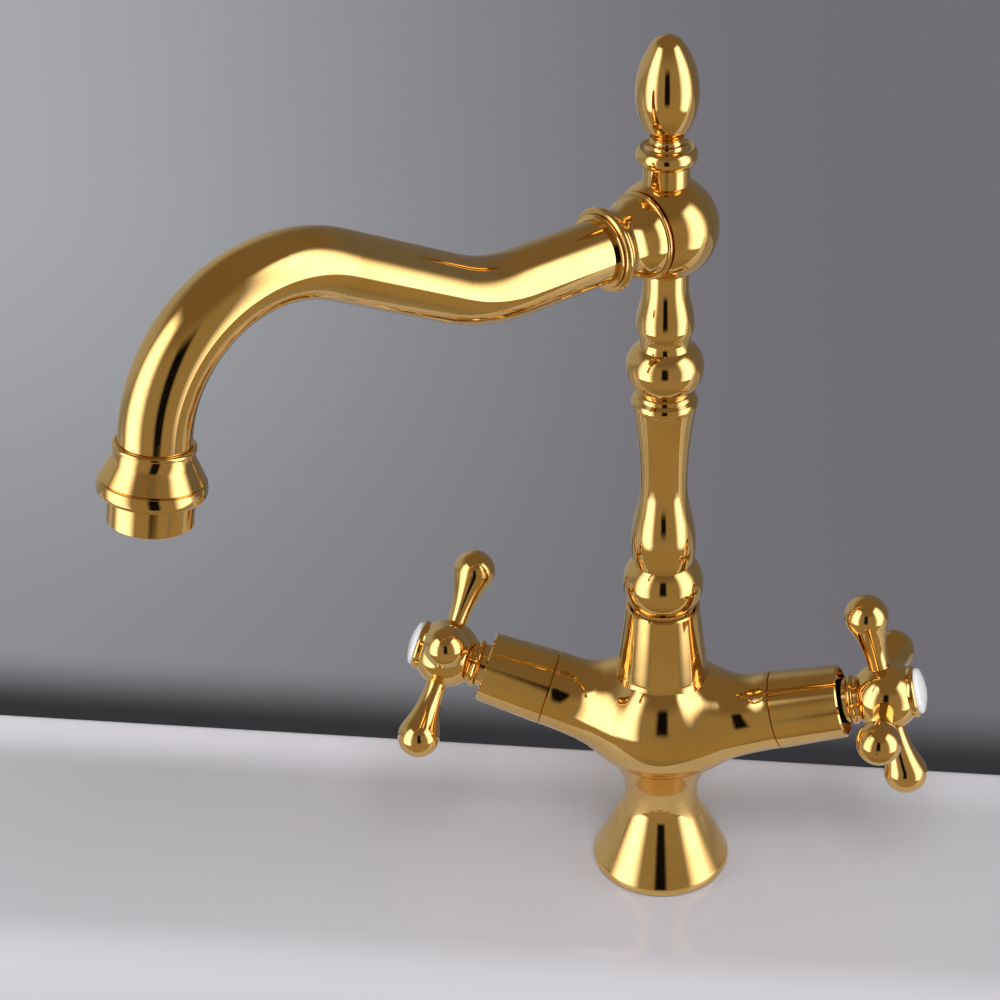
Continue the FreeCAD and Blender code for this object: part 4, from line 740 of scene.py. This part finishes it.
def add_handle_screw(side):
    """The socket screw under a handle's index button."""
    node = side + "_handle_screw"
    joint = joints[side + "_handle_turn"]
    axis = Vector(joint["axis"]).normalized()
    start = Vector(joint["pos_m"])
    low, high, head_r = reach_along(node, start, axis)
    length = high - low
    shank = length - HANDLE_SCREW_HEAD
    screw = add_thread(side + "_socket_screw", HANDLE_SCREW_R, HANDLE_SCREW_PITCH, shank + MM)
    head = add_prism("screw_head", ROUND_SIDES, head_r, shank, length)
    bevel_rims(head, (1,), HANDLE_SCREW_HEAD_ROUND, segments=5)
    carve(screw, head, "UNION")
    key = add_key_socket(HANDLE_SCREW_KEY, length - HANDLE_SCREW_KEY_DEPTH, length + MM)
    carve(screw, key, "DIFFERENCE")
    turn = axis.to_track_quat("Z", "Y").to_matrix().to_4x4()
    set_place(screw, Matrix.Translation(start + axis * low) @ turn)
    finish_piece(screw, side + "_handle", node, "steel")


def comb_places(reach):
    """Centres of the six-sided cells of a honeycomb inside a circle."""
    step = COMB_CELL_R * math.sqrt(3) - COMB_WALL
    rows = math.ceil(reach / step) + 1
    for row in range(-rows, rows + 1):
        for column in range(-rows, rows + 1):
            across = (column + row / 2) * step
            along = row * step * math.sqrt(3) / 2
            if math.hypot(across, along) < reach:
                yield across, along


def add_aerator_insert():
    """The aerator's insert: a ring filled with a honeycomb of thin-walled cells."""
    low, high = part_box("aerator_insert")
    turn = Matrix.Rotation(OUTLET_TURN, 4, "Z") @ Matrix.Rotation(OUTLET_TILT, 4, "Y")
    middle = (low + high) / 2
    below, above, radius = reach_along("aerator_insert", middle, turn.to_3x3() @ Vector((0, 0, 1)))
    cell = add_tube("comb_cell", HEX_SIDES, COMB_CELL_R, COMB_WALL, below, above)
    insert = add_tube("aerator_honeycomb", RING_SIDES, radius, INSERT_RING_WALL, below, above)
    copies = []
    for across, along in comb_places(radius - COMB_CELL_R):
        copy = bpy.data.objects.new("cell", cell.data.copy())
        copy.data.transform(Matrix.Translation((across, along, 0)))
        scene.collection.objects.link(copy)
        copies.append(copy)
    bpy.data.objects.remove(cell)
    clear_selection()
    for copy in copies:
        copy.select_set(True)
    insert.select_set(True)
    bpy.context.view_layer.objects.active = insert
    bpy.ops.object.join()
    set_place(insert, Matrix.Translation(middle) @ turn)
    finish_piece(insert, "spout", "aerator_insert", "white_plastic")


# Deck and floor

def on_deck_back(point):
    return abs(point.y - DECK_BACK - DECK_BACK_SLOPE * point.x) < MM and point.z > -MM


def on_deck_front(point):
    return abs(point.y - DECK_FRONT - DECK_FRONT_SLOPE * point.x) < MM and point.z > -MM


def add_ledge(name, back, back_slope, front, front_slope):
    """A level strip between two lines across the deck."""
    clear_selection()
    bpy.ops.mesh.primitive_plane_add(size=2 * DECK_HALF)
    strip = bpy.context.object
    strip.name = name
    for corner in strip.data.vertices:
        if corner.co.y > 0:
            corner.co.y = back + back_slope * corner.co.x
        else:
            corner.co.y = front + front_slope * corner.co.x
    strip.data.materials.append(deck_glaze_with_painted_highlights)
    return strip


def drop_edge(strip, on_edge, falls, rounding):
    """Lets one edge of a strip fall away in steps and rounds where it starts."""

    def along_edge(edge):
        return all(on_edge(strip.data.vertices[index].co) for index in edge.vertices)

    edit_where(strip, "EDGE", along_edge)
    for fall in falls:
        bpy.ops.mesh.extrude_edges_move(TRANSFORM_OT_translate={"value": fall})
    edit_where(strip, "EDGE", along_edge)
    bpy.ops.mesh.bevel(offset=rounding, segments=ROUND_STEPS)
    bpy.ops.object.mode_set(mode="OBJECT")
    bpy.ops.object.shade_smooth()


def add_deck():
    """The glazed deck that the part stands on, with a rounded edge behind."""
    deck = add_ledge("deck", DECK_BACK, DECK_BACK_SLOPE, DECK_FRONT + DECK_LIP_START, DECK_FRONT_SLOPE)
    drop_edge(deck, on_deck_back, [DECK_BACK_DROP], DECK_BACK_ROUND)


def add_floor():
    """The deck's rounded lip and the pale floor in front of it, which the metal doesn't mirror."""
    floor = add_ledge("floor", DECK_FRONT + DECK_LIP_START, DECK_FRONT_SLOPE, DECK_FRONT, DECK_FRONT_SLOPE)
    drop_edge(floor, on_deck_front, [DECK_LIP, Vector((0, -FLOOR_REACH, 0))], DECK_LIP_ROUND)
    floor.visible_glossy = False


add_camera()
add_room()
add_lamp("right_lamp", degrees=70, distance=0.95, height=0.40, width=0.70, tall=0.66, watts=4.6)
add_lamp("left_lamp", degrees=-70, distance=0.95, height=0.42, width=0.56, tall=0.66, watts=3.6)
add_lamp("top_lamp", degrees=0, distance=1.1, height=1.45, width=1.0, tall=1.0, watts=20)
add_window("right_window", degrees=66, wide=1.06)
add_window("left_window", degrees=-64, wide=1.02)
add_dark_card()
add_deck()
add_floor()
dress_nodes()
add_stud()
add_nut()
add_set_screw()
for side in ("hot", "cold"):
    add_handle_screw(side)
add_aerator_insert()
